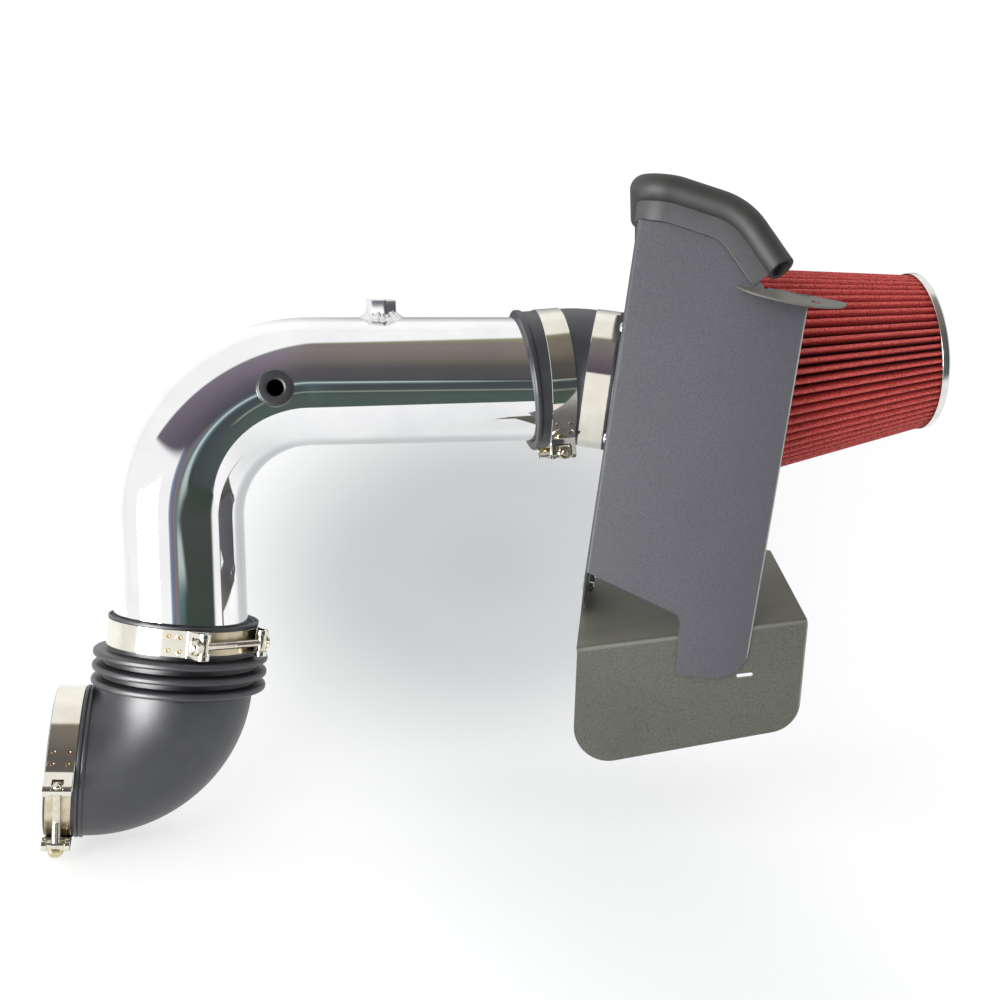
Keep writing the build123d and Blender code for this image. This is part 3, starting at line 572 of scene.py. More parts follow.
def on_pipe(angle, r):
    """Height of the pipe's skin over the bung's frame, at radius r and angles from it."""
    return np.sqrt(pipe_r**2 - (r * np.sin(np.radians(angle))) ** 2)


bead_turn = around(144)
ripple = 0.3 * np.sin(np.radians(bead_turn * 16)) + 0.2 * np.sin(np.radians(bead_turn * 27 + 40))
rows = []
for r, h in ((10.4, 6.2), (11.6, 4.8), (13.2, 3.1), (15.2, 1.5), (17.2, 0.4), (18.2, -0.3)):
    reach = r + ripple * (0.8 if h > 0 else 0.2)
    rows.append((reach, on_pipe(bead_turn, reach) + h + 0.4 * ripple * (h > 0)))
weld = lathe(bung_frame, rows, len(bead_turn))
piece("sensor_bung_turned", boss, machined, "machined_aluminium", ["sensor_bung"], outward=False)
piece("sensor_bung_weld", weld, weld_bead, "machined_aluminium", outward=False)

grommet_top, grommet_seat = pipe_r + grommet_proud, pipe_r - 4.2
head = [
    (grommet_bore, keeper_low), (grommet_bore, grommet_top - 0.6), (grommet_bore + 1.6, grommet_top),
    (grommet_r - 0.6, grommet_top), (grommet_r, grommet_seat), (grommet_neck, grommet_seat),
    (grommet_neck, keeper_top), (keeper_r, keeper_top), (keeper_r, keeper_low),
]
head = lathe(grommet_frame, rounded(head, [0.5, 1.4, 0.8, 2.6, 0, 0, 0, 0.6, 0.6]), 72, True)
piece("pipe_grommet_moulded", head, grommet_rubber, "grommet_rubber", ["pipe_grommet"])

# bellows elbow: the outside follows the elbow's own axis, the socket the pipe's
elbow_start = ELBOW @ shift(0, 0, elbow_leg) @ FLIP
elbow_arc = elbow_radius * np.pi / 2
inlet_run, outlet_run = elbow_leg - elbow_radius, outlet_leg - elbow_radius
elbow_steps = [(inlet_run, 0, None), (elbow_arc, elbow_radius, (-1, 0)), (outlet_run, 0, None)]
elbow_end = inlet_run + elbow_arc + outlet_run
lip = [(4.0, 51.2), (4.0, 52.6), (0.5, 53.0), (0.5, 53.8), (2.2, 54.2), (2.2, 55.6), (0, 56.0), (0, 57.3)]
shape = [rounded([*lip, (1.8, 57.3), (2.2, hose_r)], 0.25, 3, False), [(23.0, hose_r)]]
valley, crest = hose_r + 1.2, hose_r + rib_height
for i in range(rib_count):
    before, after = valley if i else hose_r, valley if i + 1 < rib_count else hose_r
    rib = [(-5.4, before), (-3.2, before), (-2.4, crest), (2.4, crest), (3.2, after), (5.4, after)]
    rib = np.array(rib) + (rib_start + i * rib_pitch, 0)
    shape.append(rounded(rib, [0, 0.9, 2.0, 2.0, 0.9, 0], 6, False))
shape.append(np.linspace((57.5, hose_r), (elbow_end - 29, hose_r), 46))
for middle in (elbow_end - 26.0, elbow_end - 22.6):
    bead = np.array([(-1.5, 0), (-1.2, 1.3), (1.2, 1.3), (1.5, 0)]) + (middle, hose_r)
    shape.append(rounded(bead, [0, 0.7, 0.7, 0], 4, False))
mouth = [(elbow_end - 20.5, hose_r), (elbow_end, hose_r), (elbow_end, 51.4), (elbow_end - 0.6, pipe_r)]
shape = np.vstack([*shape, rounded(mouth, [0, 1.0, 0.4, 0], 4, False)])
turns = around(144)
outer = carried(along(elbow_start, elbow_steps, shape[:, 0]), polar(shape[:, 1:], turns))
bore = np.r_[np.linspace(elbow_end - 1.0, 62.0, 40), 45.0, 22.0, 4.0]
bore_ring = np.repeat(polar(pipe_r + hose_fit, turns)[None], len(bore), 0)
bore_ring[:, :, 0] += np.where(bore < 46, -socket_shift * (1 - bore / (elbow_grip / 2)), 0.0)[:, None]
inner = carried(along(elbow_start, elbow_steps, bore), bore_ring)
elbow = skin(np.concatenate([outer, inner]), True, True)
elbow = piece("elbow_hose_moulded", elbow, hose_rubber, "hose_rubber", ["elbow_hose"], outward=False)
rib_span = rib_count * rib_pitch / 2
rib_middle = elbow_leg - rib_start - rib_pitch * (rib_count - 1) / 2
# depth between the ribs, which the rubber turns into painted shade
folded(elbow, ELBOW, lambda r, z: (np.abs(z - rib_middle) < rib_span) * (crest - r) / rib_height)

# angled coupler
coupler_start = COUPLER @ shift(0, 0, -coupler_in)
ahead = COUPLER[:3, :3].T @ COUPLER_OUT[:3, 2]
knee_angle = np.arccos(ahead[2])
knee_radius = coupler_knee / np.tan(knee_angle / 2)
knee_arc = knee_radius * knee_angle
coupler_steps = [(coupler_in - coupler_knee, 0, None), (knee_arc, knee_radius, unit(ahead[:2]))]
coupler_steps.append((coupler_out - coupler_knee, 0, None))
coupler_end = coupler_in + coupler_out - 2 * coupler_knee + knee_arc
lip = [(1.0, 51.2), (0, 52.2), (0, hose_r + 1.8), (3.6, hose_r + 1.6), (5.2, hose_r)]
tail = np.array([(-3.6, hose_r), (-3.2, hose_r + 0.9), (0, hose_r + 0.9), (0, 51.2)]) + (coupler_end, 0)
shape = [rounded(lip, [0, 0.6, 1.1, 1.1, 0], 4, False)]
shape.append(np.linspace((6.0, hose_r), (coupler_end - 4.0, hose_r), 40))
shape = np.vstack([*shape, rounded(tail, [0, 0.5, 0.6, 0], 4, False)])
outer = carried(along(coupler_start, coupler_steps, shape[:, 0]), polar(shape[:, 1:], turns))
bore = np.linspace(coupler_end - 0.6, 1.2, 30)
inner = carried(along(coupler_start, coupler_steps, bore), polar(pipe_r + hose_fit, turns))
grid = np.concatenate([outer, inner])
fade = np.clip(1 - np.r_[shape[:, 0], bore] / 16, 0, 1)[:, None]
across = (grid - COUPLER[:3, 3]) @ COUPLER[:3, 0]
grid += (across * np.tan(np.radians(lip_cut)) * fade)[..., None] * COUPLER[:3, 2]
coupler = skin(grid, True, True)
piece("coupler_hose_moulded", coupler, hose_rubber, "hose_rubber", ["coupler_hose"], outward=False)


# clamps with a T-bolt: the strap is folded back at both ends into loops, which hold the bolt's cross pins
def bolt_shape(place, r, z0, z1, thread_from, pitch=1.0, depth=0.5):
    """Rod with a screw thread: past thread_from its radius falls and rises with height and angle."""
    angle, tip = around(28), 0.8
    plain = np.linspace(z0, thread_from, 8)
    cut = np.arange(thread_from, z1 - tip, pitch / 7)
    z = np.r_[plain, cut, z1 - 0.7, z1 - 0.2, z1][:, None] + 0 * angle
    phase = (z / pitch - angle / 360) % 1
    tooth = depth * np.abs(2 * phase - 1)
    fade = np.clip((z - thread_from) / 1.5, 0, 1) * np.clip((z1 - tip - z) / tip, 0, 1)
    radius = r - tooth * fade
    radius[-3], radius[-2], radius[-1] = r - depth, r - depth - 0.4, 0.01
    return lathe(place, zip(radius, z), len(angle))


def nut_shape(place, flats, z0, z1, bore):
    """Hexagon nut: its corners are broken by a cone at both faces, and its hole is countersunk."""
    six = hex_radius(flats, around(72))
    face_r, cone = flats / 2 * 0.96, np.minimum(six, flats / 2 * 1.04)
    rows = [(bore, z0), (face_r, z0), (cone, z0 + 0.25), (six, z0 + 1.0), (six, z1 - 1.0)]
    rows += [(cone, z1 - 0.25), (face_r, z1), (bore + 0.6, z1), (bore, z1 - 0.6)]
    return lathe(place, rows, len(six), True)


def t_bolt_clamp(name, place, headed=False):
    """Strap, bridge under the gap, T-bolt, drilled trunnion and nut, round a hose along the frame's z.

    The strap's middle line is a flat end, a small bend, a slope, the loop round the pin, a straight that
    touches both the loop and the hose, and half of the round; the other half is its mirror image. A headed
    bolt shows a hexagon head at its T end, and a thin nut inside the other loop.
    """
    edge, half = band_width / 2, bolt_span / 2
    nut_room, shank_room, knob_room, tip_run = 6.4, 4.0, 3.9, 6.5
    r_in = hose_r + 0.1
    bolt_x = r_in + 0.6 + bolt_r + 1.6
    loop_r = trunnion_r + 0.2 + band_thick / 2
    mid = r_in + band_thick / 2
    eye = np.array((bolt_x, half))
    leave = np.degrees(np.arctan2(half, bolt_x) + np.arccos((mid + loop_r) / np.linalg.norm(eye)))
    lie = loop_r - band_thick - 0.1
    slant = np.degrees(np.arccos(loop_r / np.hypot(strap_step, lie)) - np.arctan2(lie, strap_step))
    bend_from = strap_step + strap_bend * np.tan(np.radians(45 - slant / 2))

    def beside(run, out):
        """Points at distances run along the straight from the pin, and out from it."""
        return eye + polar(run, leave + 90) + polar(out, leave)

    tongue = beside(np.linspace(bend_from + strap_weld, bend_from, 16), -lie)
    bend = arc(beside(bend_from, strap_bend - lie), strap_bend, leave + 180, leave + 270 - slant, 8.0)
    loop = arc(eye, loop_r, leave + 90 - slant, leave - 180, 6.0)
    slope = np.linspace(bend[-1], loop[0], 12)[1:-1]
    strand = np.linspace(loop[-1], polar(mid, leave), 8)[1:-1]
    parts = [np.vstack([tongue[:-1], bend]), slope, loop, strand, arc((0, 0), mid, leave, 180, 2.0)]
    upper = np.vstack(parts)
    x, y = upper.T
    kind = np.repeat(np.arange(5), [len(part) for part in parts])
    run = np.r_[0, np.cumsum(np.linalg.norm(np.diff(upper, axis=0), axis=1))]
    wide = edge * np.sqrt(np.clip(1 - np.clip(1 - run / tip_run, 0, 1) ** 2, 0.05, 1))
    number = np.arange(len(upper))
    shapes = []
    for sign in (1, -1):
        gap = np.zeros(len(upper))
        if sign > 0 or headed:
            gap[((kind == 1) | (kind == 2)) & (x > bolt_x - nut_room)] = nut_flats / np.sqrt(3) + 0.5
        if sign < 0:
            gap[(kind == 2) & (y < half) & (x > bolt_x - shank_room)] = bolt_r + 0.8
        if sign < 0 and not headed:
            gap[(kind <= 2) & (y > half + 2) & (np.abs(x - bolt_x) < knob_room)] = bolt_r + 0.9
        cuts = np.flatnonzero(np.diff(gap)) + 1
        for first, last in zip(np.r_[0, cuts], np.r_[cuts, len(upper)]):
            free = gap[first]
            pick = number[max(first - 1, 0) : last + 1] if free else number[first:last]
            spans = [(free, wide[pick]), (-wide[pick], -free)] if free else [(-wide[pick], wide[pick])]
            shapes += [strap(place, upper[pick] * (1, sign), low, high) for low, high in spans]
    half_bridge = leave - np.degrees(np.arccos(mid / (mid + 0.7))) - 2
    bridge = strap(place, arc((0, 0), hose_r + 0.35, -half_bridge, half_bridge, 1.5), 1 - edge, edge - 1, 0.6)
    bolt_frame = place @ shift(bolt_x, half, 0) @ turn(-90, "X")
    cross_pin = bar(place, arc((bolt_x, -half), trunnion_r, 0, 352, 8.0), 1 - edge, edge - 1, 0.5)
    nut_end = trunnion_flat + nut_height * (0.4 if headed else 1)
    tail_end = nut_end + (0.4 if headed else 0.4 * bolt_tail)
    shank = bolt_shape(bolt_frame, bolt_r, -bolt_span, tail_end, -bolt_span * 0.48)
    knob_end = -bolt_span - (head_reach if headed else knob_reach)
    knob = [(3.3, -bolt_span), (3.3, knob_end), (0.01, knob_end - 1)]
    knob = lathe(bolt_frame, rounded(knob, [0, 1.3, 0], 5, False), 28)
    bolt = joined(cross_pin, shank, knob)
    if headed:
        bolt = joined(bolt, nut_shape(bolt_frame, nut_flats, knob_end + 1, -bolt_span - 3, bolt_r + 0.2))
    flat_turn = np.degrees(np.arcsin(trunnion_flat / trunnion_r))
    pin = arc((bolt_x, half), trunnion_r, 180 - flat_turn, 360 + flat_turn, 8.0)
    pin = bar(place, pin, 1 - edge, edge - 1, 0.5)
    nut = nut_shape(bolt_frame, nut_flats, trunnion_flat + 0.05, nut_end, bolt_r + 0.05)
    for label, shape, coat, slot, node in (
        ("strap", joined(*shapes), stainless, "stainless_band", "band"),
        ("bridge_strip", bridge, satin, "stainless_band", "bridge"),
        ("t_bolt", bolt, nickel, "zinc_steel", "bolt"),
        ("drilled_pin", pin, nickel, "zinc_steel", "trunnion"),
        ("hex_nut", nut, nickel if headed else yellow_zinc, "yellow_zinc", "nut"),
    ):
        piece(f"{name}_{label}", shape, coat, slot, [f"{name}_{node}"])
    dots = [(bend_from + 0.55 * strap_weld, band_thick / 2 - lie)]
    dots.append((bend_from + strap_weld + 4.5, band_thick / 2 - loop_r))
    spots = []
    for sign, (run, out), z in itertools.product((1, -1), dots, (-5.2, 5.2)):
        x, y = beside(run, out)
        spot = place @ shift(x, sign * y, z) @ turn(sign * leave, "Z") @ turn(90, "Y")
        spots.append(lathe(spot, [(1.9, -0.1), (1.7, 0.14), (1.1, 0.16), (0.9, 0.02), (0.01, 0.0)], 20))
    piece(f"{name}_spot_welds", joined(*spots), weld_tint, "stainless_band", outward=False)


# each clamp sits a little in from its hose's end, with its bolt turned to where it is seen
t_bolt_clamp("clamp_elbow_in", ELBOW @ shift(0, 0, elbow_leg - 12.5) @ turn(-54, "Z"), True)
t_bolt_clamp("clamp_elbow_out", OUTLET @ shift(0, 0, outlet_leg - 10.6) @ turn(-117, "Z") @ FLIP)
t_bolt_clamp("clamp_coupler_in", COUPLER @ shift(0, 0, 23.3 - coupler_in) @ FLIP)
t_bolt_clamp("clamp_coupler_out", COUPLER_OUT @ shift(0, 0, coupler_out - 12.2) @ turn(90, "Z"))

# heat shield, in its own frame: wall at x = 0, front panel at y = -panel_reach
edge_drop = bulb_od / 2 + strip_seat
strip_top = panel_top + edge_drop
edge_r = strip_knee - edge_drop - strip_fit
spot = np.array((sheet / 2 + strip_corner, strip_top))
heading = 0.0
legs = []
for length, fall in zip(strip_runs, (*strip_falls, None)):
    legs.append((spot, heading, length))
    spot = spot + polar(length, -heading)
    if fall is not None:
        spot = spot + polar(strip_knee, -90 - heading) + polar(strip_knee, 90 - fall)
        heading = fall
top_edge = []
for (p0, h0, length), (_, h1, _) in zip(legs, legs[1:]):
    end = p0 + polar(length, -h0) + polar(edge_drop + strip_fit, -90 - h0)
    top_edge.append(end + polar(edge_r * np.tan(np.radians((h1 - h0) / 2)), -h0))
last_start, last_heading, _ = legs[-1]
edge_start = last_start + polar(edge_drop + strip_fit, -90 - last_heading)
ledge_x = edge_start[0] + (edge_start[1] - ledge) / np.tan(np.radians(last_heading))
clip_end = strip_top - bulb_od / 2 - clip_depth - 2 * strip_fit
corner_cut = strip_corner + 1.6
sheet_top = panel_top - strip_fit
outline = [
    (sheet_bend, clip_end), (sheet_bend, panel_fold_end), panel_notch, (tab_left - 1, tab_end),
    (panel_width, tab_end + 4), (panel_width, ledge), (ledge_x, ledge), *top_edge[::-1],
    (corner_cut, sheet_top), (corner_cut, clip_end),
]
front = rounded(outline, [0, 0, 9, 4, 25, 0.6, 0, edge_r, edge_r, 0, 0], 10)
front_panel = plate(SHIELD @ shift(0, sheet - panel_reach, 0) @ turn(90, "X"), front, open_sides=[0])


def floor_height(y):
    """Height of the base's floor at the wall: its level at the fold and the rise of its tilt from there."""
    return floor_level + (y + panel_reach - sheet) * np.tan(np.radians(floor_tilt))


wall_front = sheet_bend - panel_reach
wall_outline = [
    (wall_front, clip_end), (wall_front, panel_fold_end), (wall_foot, floor_height(wall_foot) + 2 * sheet),
    (wall_back, floor_height(wall_back) + 2 * sheet), (wall_back, sheet_top),
    (corner_cut - panel_reach, sheet_top), (corner_cut - panel_reach, clip_end),
]
circle = around(96)
screw_turns = np.arange(4) * 90 + 45
holes = [polar(pipe_r + 0.4, circle)]
holes += [polar(screw_circle, a) + polar(screw_r + 0.2, circle[::6]) for a in screw_turns]
wall = plate(WALL, rounded(wall_outline, [0, 0, 10, 8, 2, 0, 0], 8), holes, open_sides=[0])
bow = np.linspace(180, 270, 9)
bend_at, bend_in = (sheet_bend, wall_front), sheet_bend - sheet
rims = [(sheet_bend, panel_fold_end), (sheet_bend, clip_end), (bend_in, clip_end), (bend_in, panel_fold_end)]
fold = [np.column_stack([polar(r, bow) + bend_at, np.full(len(bow), z)]) for r, z in rims]
fold = skin(in_frame(SHIELD, fold), True)
ear_middle = ear_left + ear_width / 2
ear_half = np.array((ear_width, ear_depth)) / 2
clip_room = clip_width / 2 + 2 * sheet
free_x = ledge_x + 2 - ear_middle
ear_to = np.degrees(np.arcsin(clip_room / ear_half[1])) - 180
ear_edge = polar(1, np.linspace(0, ear_to, 90)) * ear_half
ear_edge = np.vstack([ear_edge, (free_x, -clip_room), (free_x, sheet), (ear_half[0] - 1, sheet)])
ear_hole = polar(ear_hole_r, circle[::3]) + (ear_width * 0.22, -ear_depth * 0.25)
ear_place = SHIELD @ shift(ear_middle, sheet / 2 - panel_reach, ledge - sheet)
ear = plate(ear_place @ turn(ear_fall, "Y") @ turn(ear_tilt, "X"), ear_edge, [ear_hole])
shield = joined(front_panel, wall, fold, ear)
pressed = {"sharp": 30.0, "bevel": 0.55, "pale_tone": edge_highlight_coat}
piece("heat_shield_folded", shield, panel_coat, "powder_coat", ["heat_shield_panel"], **pressed)

# base of the shield: flap and floor of one sheet with a round fold, and a flange on the wall
tilt = np.radians(floor_tilt)
back_dir = np.array((np.cos(tilt), np.sin(tilt)))
flap_edge = [(0, -fold_reach), (-flap_shear, -flap_drop[0])]
flap_edge += [(flap_width - flap_shear, -flap_drop[1]), (flap_width, -fold_reach)]
flap_edge = rounded(flap_edge, [0, flap_corner, flap_corner, 0], 14)
slot_edge = np.array([(-1, -1), (1, -1), (1, 1), (-1, 1)]) * (np.array(slot_size) / 2) + slot_at
slot_hole = rounded(slot_edge, 1.2, 4)
flap_place = BASE @ shift(0, sheet, 0) @ turn(90, "X")
flap = plate(flap_place, flap_edge, [slot_hole], open_sides=[len(flap_edge) - 1])
fold_out = rounded([(0, -fold_reach), (0, 0), back_dir * fold_reach], [0, sheet_bend, 0], 8, False)
normal = np.gradient(fold_out, axis=0)
normal = np.column_stack([normal[:, 1], -normal[:, 0]]) / np.linalg.norm(normal, axis=1, keepdims=True)
normal[0], normal[-1] = (1, 0), (back_dir[1], -back_dir[0])
fold_in = fold_out + sheet * normal
rims = [(fold_out, 0), (fold_out, flap_width), (fold_in, flap_width), (fold_in, 0)]
rows = [np.column_stack([np.full(len(line), x), line]) for line, x in rims]
base_fold = skin(in_frame(BASE, rows), True)
tread_edge = [(0, fold_reach), (flap_width, fold_reach), (flap_width, floor_depth), (0, floor_depth)]
tread_edge = rounded(tread_edge, [0, 0, 6, 6], 6)
tread = plate(BASE @ turn(floor_tilt, "X") @ shift(0, 0, -sheet), tread_edge, open_sides=[0])
flange_front = flange_start - panel_reach
flange_low = floor_height(flange_front) - 0.5
flange_edge = np.array([(0, 0), (flange_length, 0), (flange_length, flange_height), (0, flange_height)])
flange_edge = rounded(flange_edge + (flange_front, flange_low), [0, 0, 6, 6], 6)
flange = plate(WALL @ shift(0, 0, sheet + 0.1), flange_edge)
base = joined(flap, base_fold, tread, flange)
piece("heat_shield_base_folded", base, base_coat, "base_powder_coat", ["heat_shield_base"], **pressed)

# weatherstrip: hollow bulb with a clip
clip_half, slit = clip_width / 2, sheet / 2 + strip_fit
foot, clip_top = -bulb_od / 2 - clip_depth, -bulb_od / 2 + 1
clip = [(-clip_half, clip_top), (-clip_half, foot), (-slit, foot), (-slit, -edge_drop)]
clip += [(slit, -edge_drop), (slit, foot), (clip_half, foot), (clip_half, clip_top)]
clip = rounded(clip, [0, 1.0, 0.5, 0.2, 0.2, 0.5, 1.0, 0], 4)
bulb = polar(bulb_od / 2 - 0.02, around(48))
hollow = bulb * bulb_id / bulb_od
strip_end = wall_back - strip_inset
wall_run = strip_end - (sheet / 2 - panel_reach) - strip_corner
strip_start = SHIELD @ placed((sheet / 2, strip_end, strip_top), (1, 0, 0), (0, -1, 0))
steps = [(wall_run, 0, None), (strip_corner * np.pi / 2, strip_corner, (1, 0))]
for (_, heading, length), fall in zip(legs, (*strip_falls, None)):
    steps.append((length, 0, None))
    if fall is not None:
        steps.append((strip_knee * np.radians(fall - heading), strip_knee, (0, -1)))
steps[-1] = (steps[-1][0] + strip_over, 0, None)
knots = np.cumsum([0, *[length for length, _, _ in steps]])
total = knots[-1]
stations = np.unique(np.r_[knots[:-1], np.arange(0, total, 2.5), total - 1e-6])
stations = stations[(stations < total - 7) | (stations > total - 0.1)]
path = along(strip_start, steps, stations)


def snipped(section):
    """A section carried along the strip; its last ring moves on by a share of its x, as if cut on a slant."""
    points = carried(path, section)
    points[-1] += strip_slant * section[:, :1] * path[-1, :3, 2]
    return points


wall_out, wall_in = snipped(bulb), snipped(hollow)
grid = skin(np.concatenate([wall_in[:1], wall_out, wall_in[-1:]]), wrap_v=True)
piece("weatherstrip_bulb", grid, strip_rubber, "weatherstrip_rubber", ["weatherstrip"], outward=False)
# inner wall of the hollow, in the rubber painted dark as shade
grid = skin(wall_in[::-1], wrap_v=True)
piece("weatherstrip_hollow", grid, painted_shade_rubber, "weatherstrip_rubber", outward=False)
grid = carried(along(strip_start, steps, np.r_[stations[:-1], total - 2.0]), clip)
closing = filled([clip])[1].tolist()
clip_piece = joined(skin(grid, wrap_v=True), (grid[0], closing), (grid[-1], closing))
piece("weatherstrip_clip", clip_piece, clip_rubber, "weatherstrip_rubber")

# adapter, its screws and the base's screws
tube_in, flange_top = pipe_r - adapter_wall, sheet + flange_thick
lip = [(tube_in, -adapter_in), (pipe_r, -adapter_in), (pipe_r, sheet), (flange_r, sheet)]
lip += [(flange_r, flange_top), (pipe_r, flange_top), (pipe_r, adapter_out), (tube_in, adapter_out)]
adapter = lathe(ADAPTER, rounded(lip, [0.6, 0.8, 0, 0.6, 0.6, 1.2, 0.8, 0.6], 3), 120, True)
piece("filter_adapter_turned", adapter, machined, "machined_aluminium", ["filter_adapter"])


def button_screw(place, length):
    """Button-head screw: domed head with a hexagon socket, and a threaded shank."""
    six = hex_radius(2.5, around(48))
    rows = [(screw_r - 0.1, 0.3), (4.2, -0.05), (4.25, -0.5), (3.9, -1.3), (3.1, -2.0), (2.2, -2.35)]
    rows += [(1.7, -2.4), (six, -2.4), (six * 0.98, -1.0), (six * 0.01, -0.9)]
    return joined(lathe(place, rows, len(six)), bolt_shape(place, screw_r, 0.2, length, 1.0, 0.8, 0.4))


rivet_z = flange_low + flange_height * 0.66
rivet_y = flange_front + flange_length * np.array((0.25, 0.75))
adapter_spots = [ADAPTER @ shift(*polar(screw_circle, a), 0) for a in screw_turns]
base_spots = [SHIELD @ shift(0, y, rivet_z) @ turn(90, "Y") for y in rivet_y]
fixings = [("adapter", adapter_spots, flange_top, 0.1), ("base", base_spots, 2 * sheet, 0.15)]
for name, spots, grip, gap in fixings:
    screws = joined(*[button_screw(spot, grip + 5) for spot in spots])
    piece(f"{name}_button_screws", screws, zinc, "zinc_steel", [f"{name}_screws"])
    nut_low = grip + gap
    nuts = joined(*[nut_shape(spot, screw_nut_flats, nut_low, nut_low + 4, screw_r) for spot in spots])
    piece(f"{name}_hex_nuts", nuts, zinc, "zinc_steel", [f"{name}_nuts"])

# cone filter
taper = (filter_base_r - filter_end_r) / filter_length
pleat_start = base_start + base_depth - 6
top = filter_length - 2.5
pleat_end = top - 2.8


def tip_r(z):
    """Radius of the cone through the pleats' tips at height z."""
    return filter_base_r - taper * z


z = np.linspace(pleat_start, pleat_end, 40)[:, None]
turns = np.arange(pleat_count * per_pleat) / per_pleat
number = np.floor(turns + 0.5).astype(int) % pleat_count
phase = (turns + 0.5) % 1 - 0.5
depth = (0.5 - 0.5 * np.cos(2 * np.pi * phase)) ** 2.2
lean = rng.normal(0, 0.025, (2, pleat_count))[:, number]
swing = lean[0] * np.sin(z / 38 + 5 * lean[1]) * (1 - depth) + lean[1] * (1 - depth) * 0.6
deep = pleat_depth * depth + rng.normal(0, 0.15, pleat_count)[number] * (1 - depth) + 0.3
radius = tip_r(z) - deep
outer = np.dstack([polar(radius, (turns + swing) * 360 / pleat_count), z + 0 * radius])
ends = z[[-1, 0]]
inner = polar(tip_r(ends) - pleat_depth - 2.0, turns * 360 / pleat_count)
inner = np.dstack([inner, ends + 0 * turns])
pleats = skin(in_frame(FILTER, np.concatenate([outer, inner])), True, True)
media = piece("filter_pleats", pleats, gauze, "red_gauze", ["filter_media"], 60.0, outward=False)
# depth in the pleats, which the gauze turns into painted shade
folded(media, FILTER, lambda r, z: (tip_r(z) - r) / pleat_depth)

core_z = np.array((pleat_start, pleat_end, pleat_end, pleat_start))
core_r = tip_r(core_z) - pleat_depth - (2.4, 2.4, 3.2, 3.2)
core = lathe(FILTER, zip(core_r, core_z), closed=True)
piece("filter_core_sleeve", core, zinc, "zinc_steel", ["filter_core"])

cap_r, cap_low = tip_r(pleat_end) + cap_over - 0.6, top - cap_depth
cap_edge = [(0.01, top - 1.6), (cap_r - 24, top - 1.6), (cap_r - 20, top), (cap_r, top), (cap_r, cap_low)]
cap_edge += [(cap_r - 0.9, cap_low), (cap_r - 0.9, top - 2.6), (0.01, top - 2.6)]
cap = lathe(FILTER, rounded(cap_edge, [0, 3, 3, 2.2, 0.4, 0.4, 1.0, 0], 6, False), 160)
piece("filter_end_cap_spun", cap, cap_steel, "cap_chrome", ["filter_end_cap"], outward=False)

collar_top, seat_z = base_start + base_depth, pleat_start - 0.3
base_r = tip_r(pleat_start) + base_lip
groove_r = base_r - 1.6
base_edge = [
    (base_hole_r, base_start), (base_r - 9, base_start), (base_r, base_start + 4), (base_r, base_start + 10),
    (groove_r, base_start + 11), (groove_r, collar_top - 6), (base_r, collar_top - 5), (base_r, collar_top),
    (tip_r(collar_top) + 0.3, collar_top), (tip_r(pleat_start) + 0.3, seat_z),
    (tip_r(pleat_start) - pleat_depth - 3.4, seat_z), (base_hole_r, seat_z),
]
base_edge = rounded(base_edge, [0, 4, 3, 0.8, 0.4, 0.4, 0.8, 1.5, 0.6, 0, 0, 0], 4)
neck_in, neck_r = pipe_r + hose_fit, pipe_r + hose_fit + neck_wall
neck_low, bead_top = flange_top + 0.6, flange_top + 4.6
neck_edge = [(neck_in, neck_low), (neck_r + 1, neck_low), (neck_r + 1, bead_top), (neck_r, bead_top)]
neck_edge = rounded([*neck_edge, (neck_r, neck_top), (neck_in, neck_top)], [0.6, 0.8, 0.6, 0.6, 0, 0], 3)
moulded = joined(lathe(FILTER, base_edge, 160, True), lathe(ADAPTER, neck_edge, 120, True))
piece("filter_base_moulded", moulded, hose_rubber, "hose_rubber", ["filter_base"])

# worm-drive clamp on the filter's neck
band_low, band_in = flange_top + 6.0, neck_r + 0.1
band_high, band_out = band_low + neck_band_width, band_in + neck_band_thick
band_edge = [(band_in, band_low), (band_out, band_low), (band_out, band_high), (band_in, band_high)]
band = lathe(ADAPTER, rounded(band_edge, 0.2, 2), 144, True)
piece("neck_clamp_strip", band, stainless, "stainless_band", ["neck_clamp_band"])
house_place = ADAPTER @ shift(band_out + 4.2, 0, band_low + neck_band_width / 2) @ turn(-90, "X")
house = rounded([(-4.3, -7.4), (4.4, -7.4), (4.4, 7.4), (-4.3, 7.4)], [0.5, 3.4, 3.4, 0.5], 5)
house = bar(house_place, house, -worm_half, worm_half, 0.6)
piece("neck_clamp_screw_housing", house, stainless, "stainless_band", ["neck_clamp_housing"])
worm_place = house_place @ shift(0.4, 0, 0)
worm = bolt_shape(worm_place, 3.2, -worm_half - 1, worm_half + 1, -worm_half, 1.6, 0.6)
worm = joined(worm, nut_shape(worm_place, 7.3, worm_half + 1, worm_half + 6, 1.2))
piece("neck_clamp_worm", worm, zinc, "zinc_steel", ["neck_clamp_screw"])

# floor and backdrop: a pale sweep under and behind the part, clear from its back
low = cad_low[2] / MM - 1.0
floor_front, wall_y, wall_top, sweep_r = -330.0, 250.0, 1900.0, 160.0
sweep = rounded([(floor_front, low), (wall_y, low), (wall_y, wall_top)], [0, sweep_r, 0], 24, False)
across = np.array((-2600.0, -300.0, 1000.0, 3000.0))
stage_grid = np.stack([np.column_stack([np.full(len(sweep), x), sweep]) for x in across])
stage_grid[:, 0, 1] = -262 - 0.25 * np.clip(across, -300, 1000)
points, faces = skin(stage_grid)
floor_mesh = bpy.data.meshes.new("pale_sweep")
floor_mesh.from_pydata((points * MM).tolist(), [], faces)
floor_mesh.shade_smooth()
# pale paper: matt and nearly white, with a painted shadow behind the pipe, and a grey band of painted shade
# that only the metal's reflections see
pale, tree, shader, place = blank("pale paper", Roughness=0.9)
rays = add(tree, "LightPath").outputs
axes = add(tree, "SeparateXYZ", {"Vector": place}).outputs
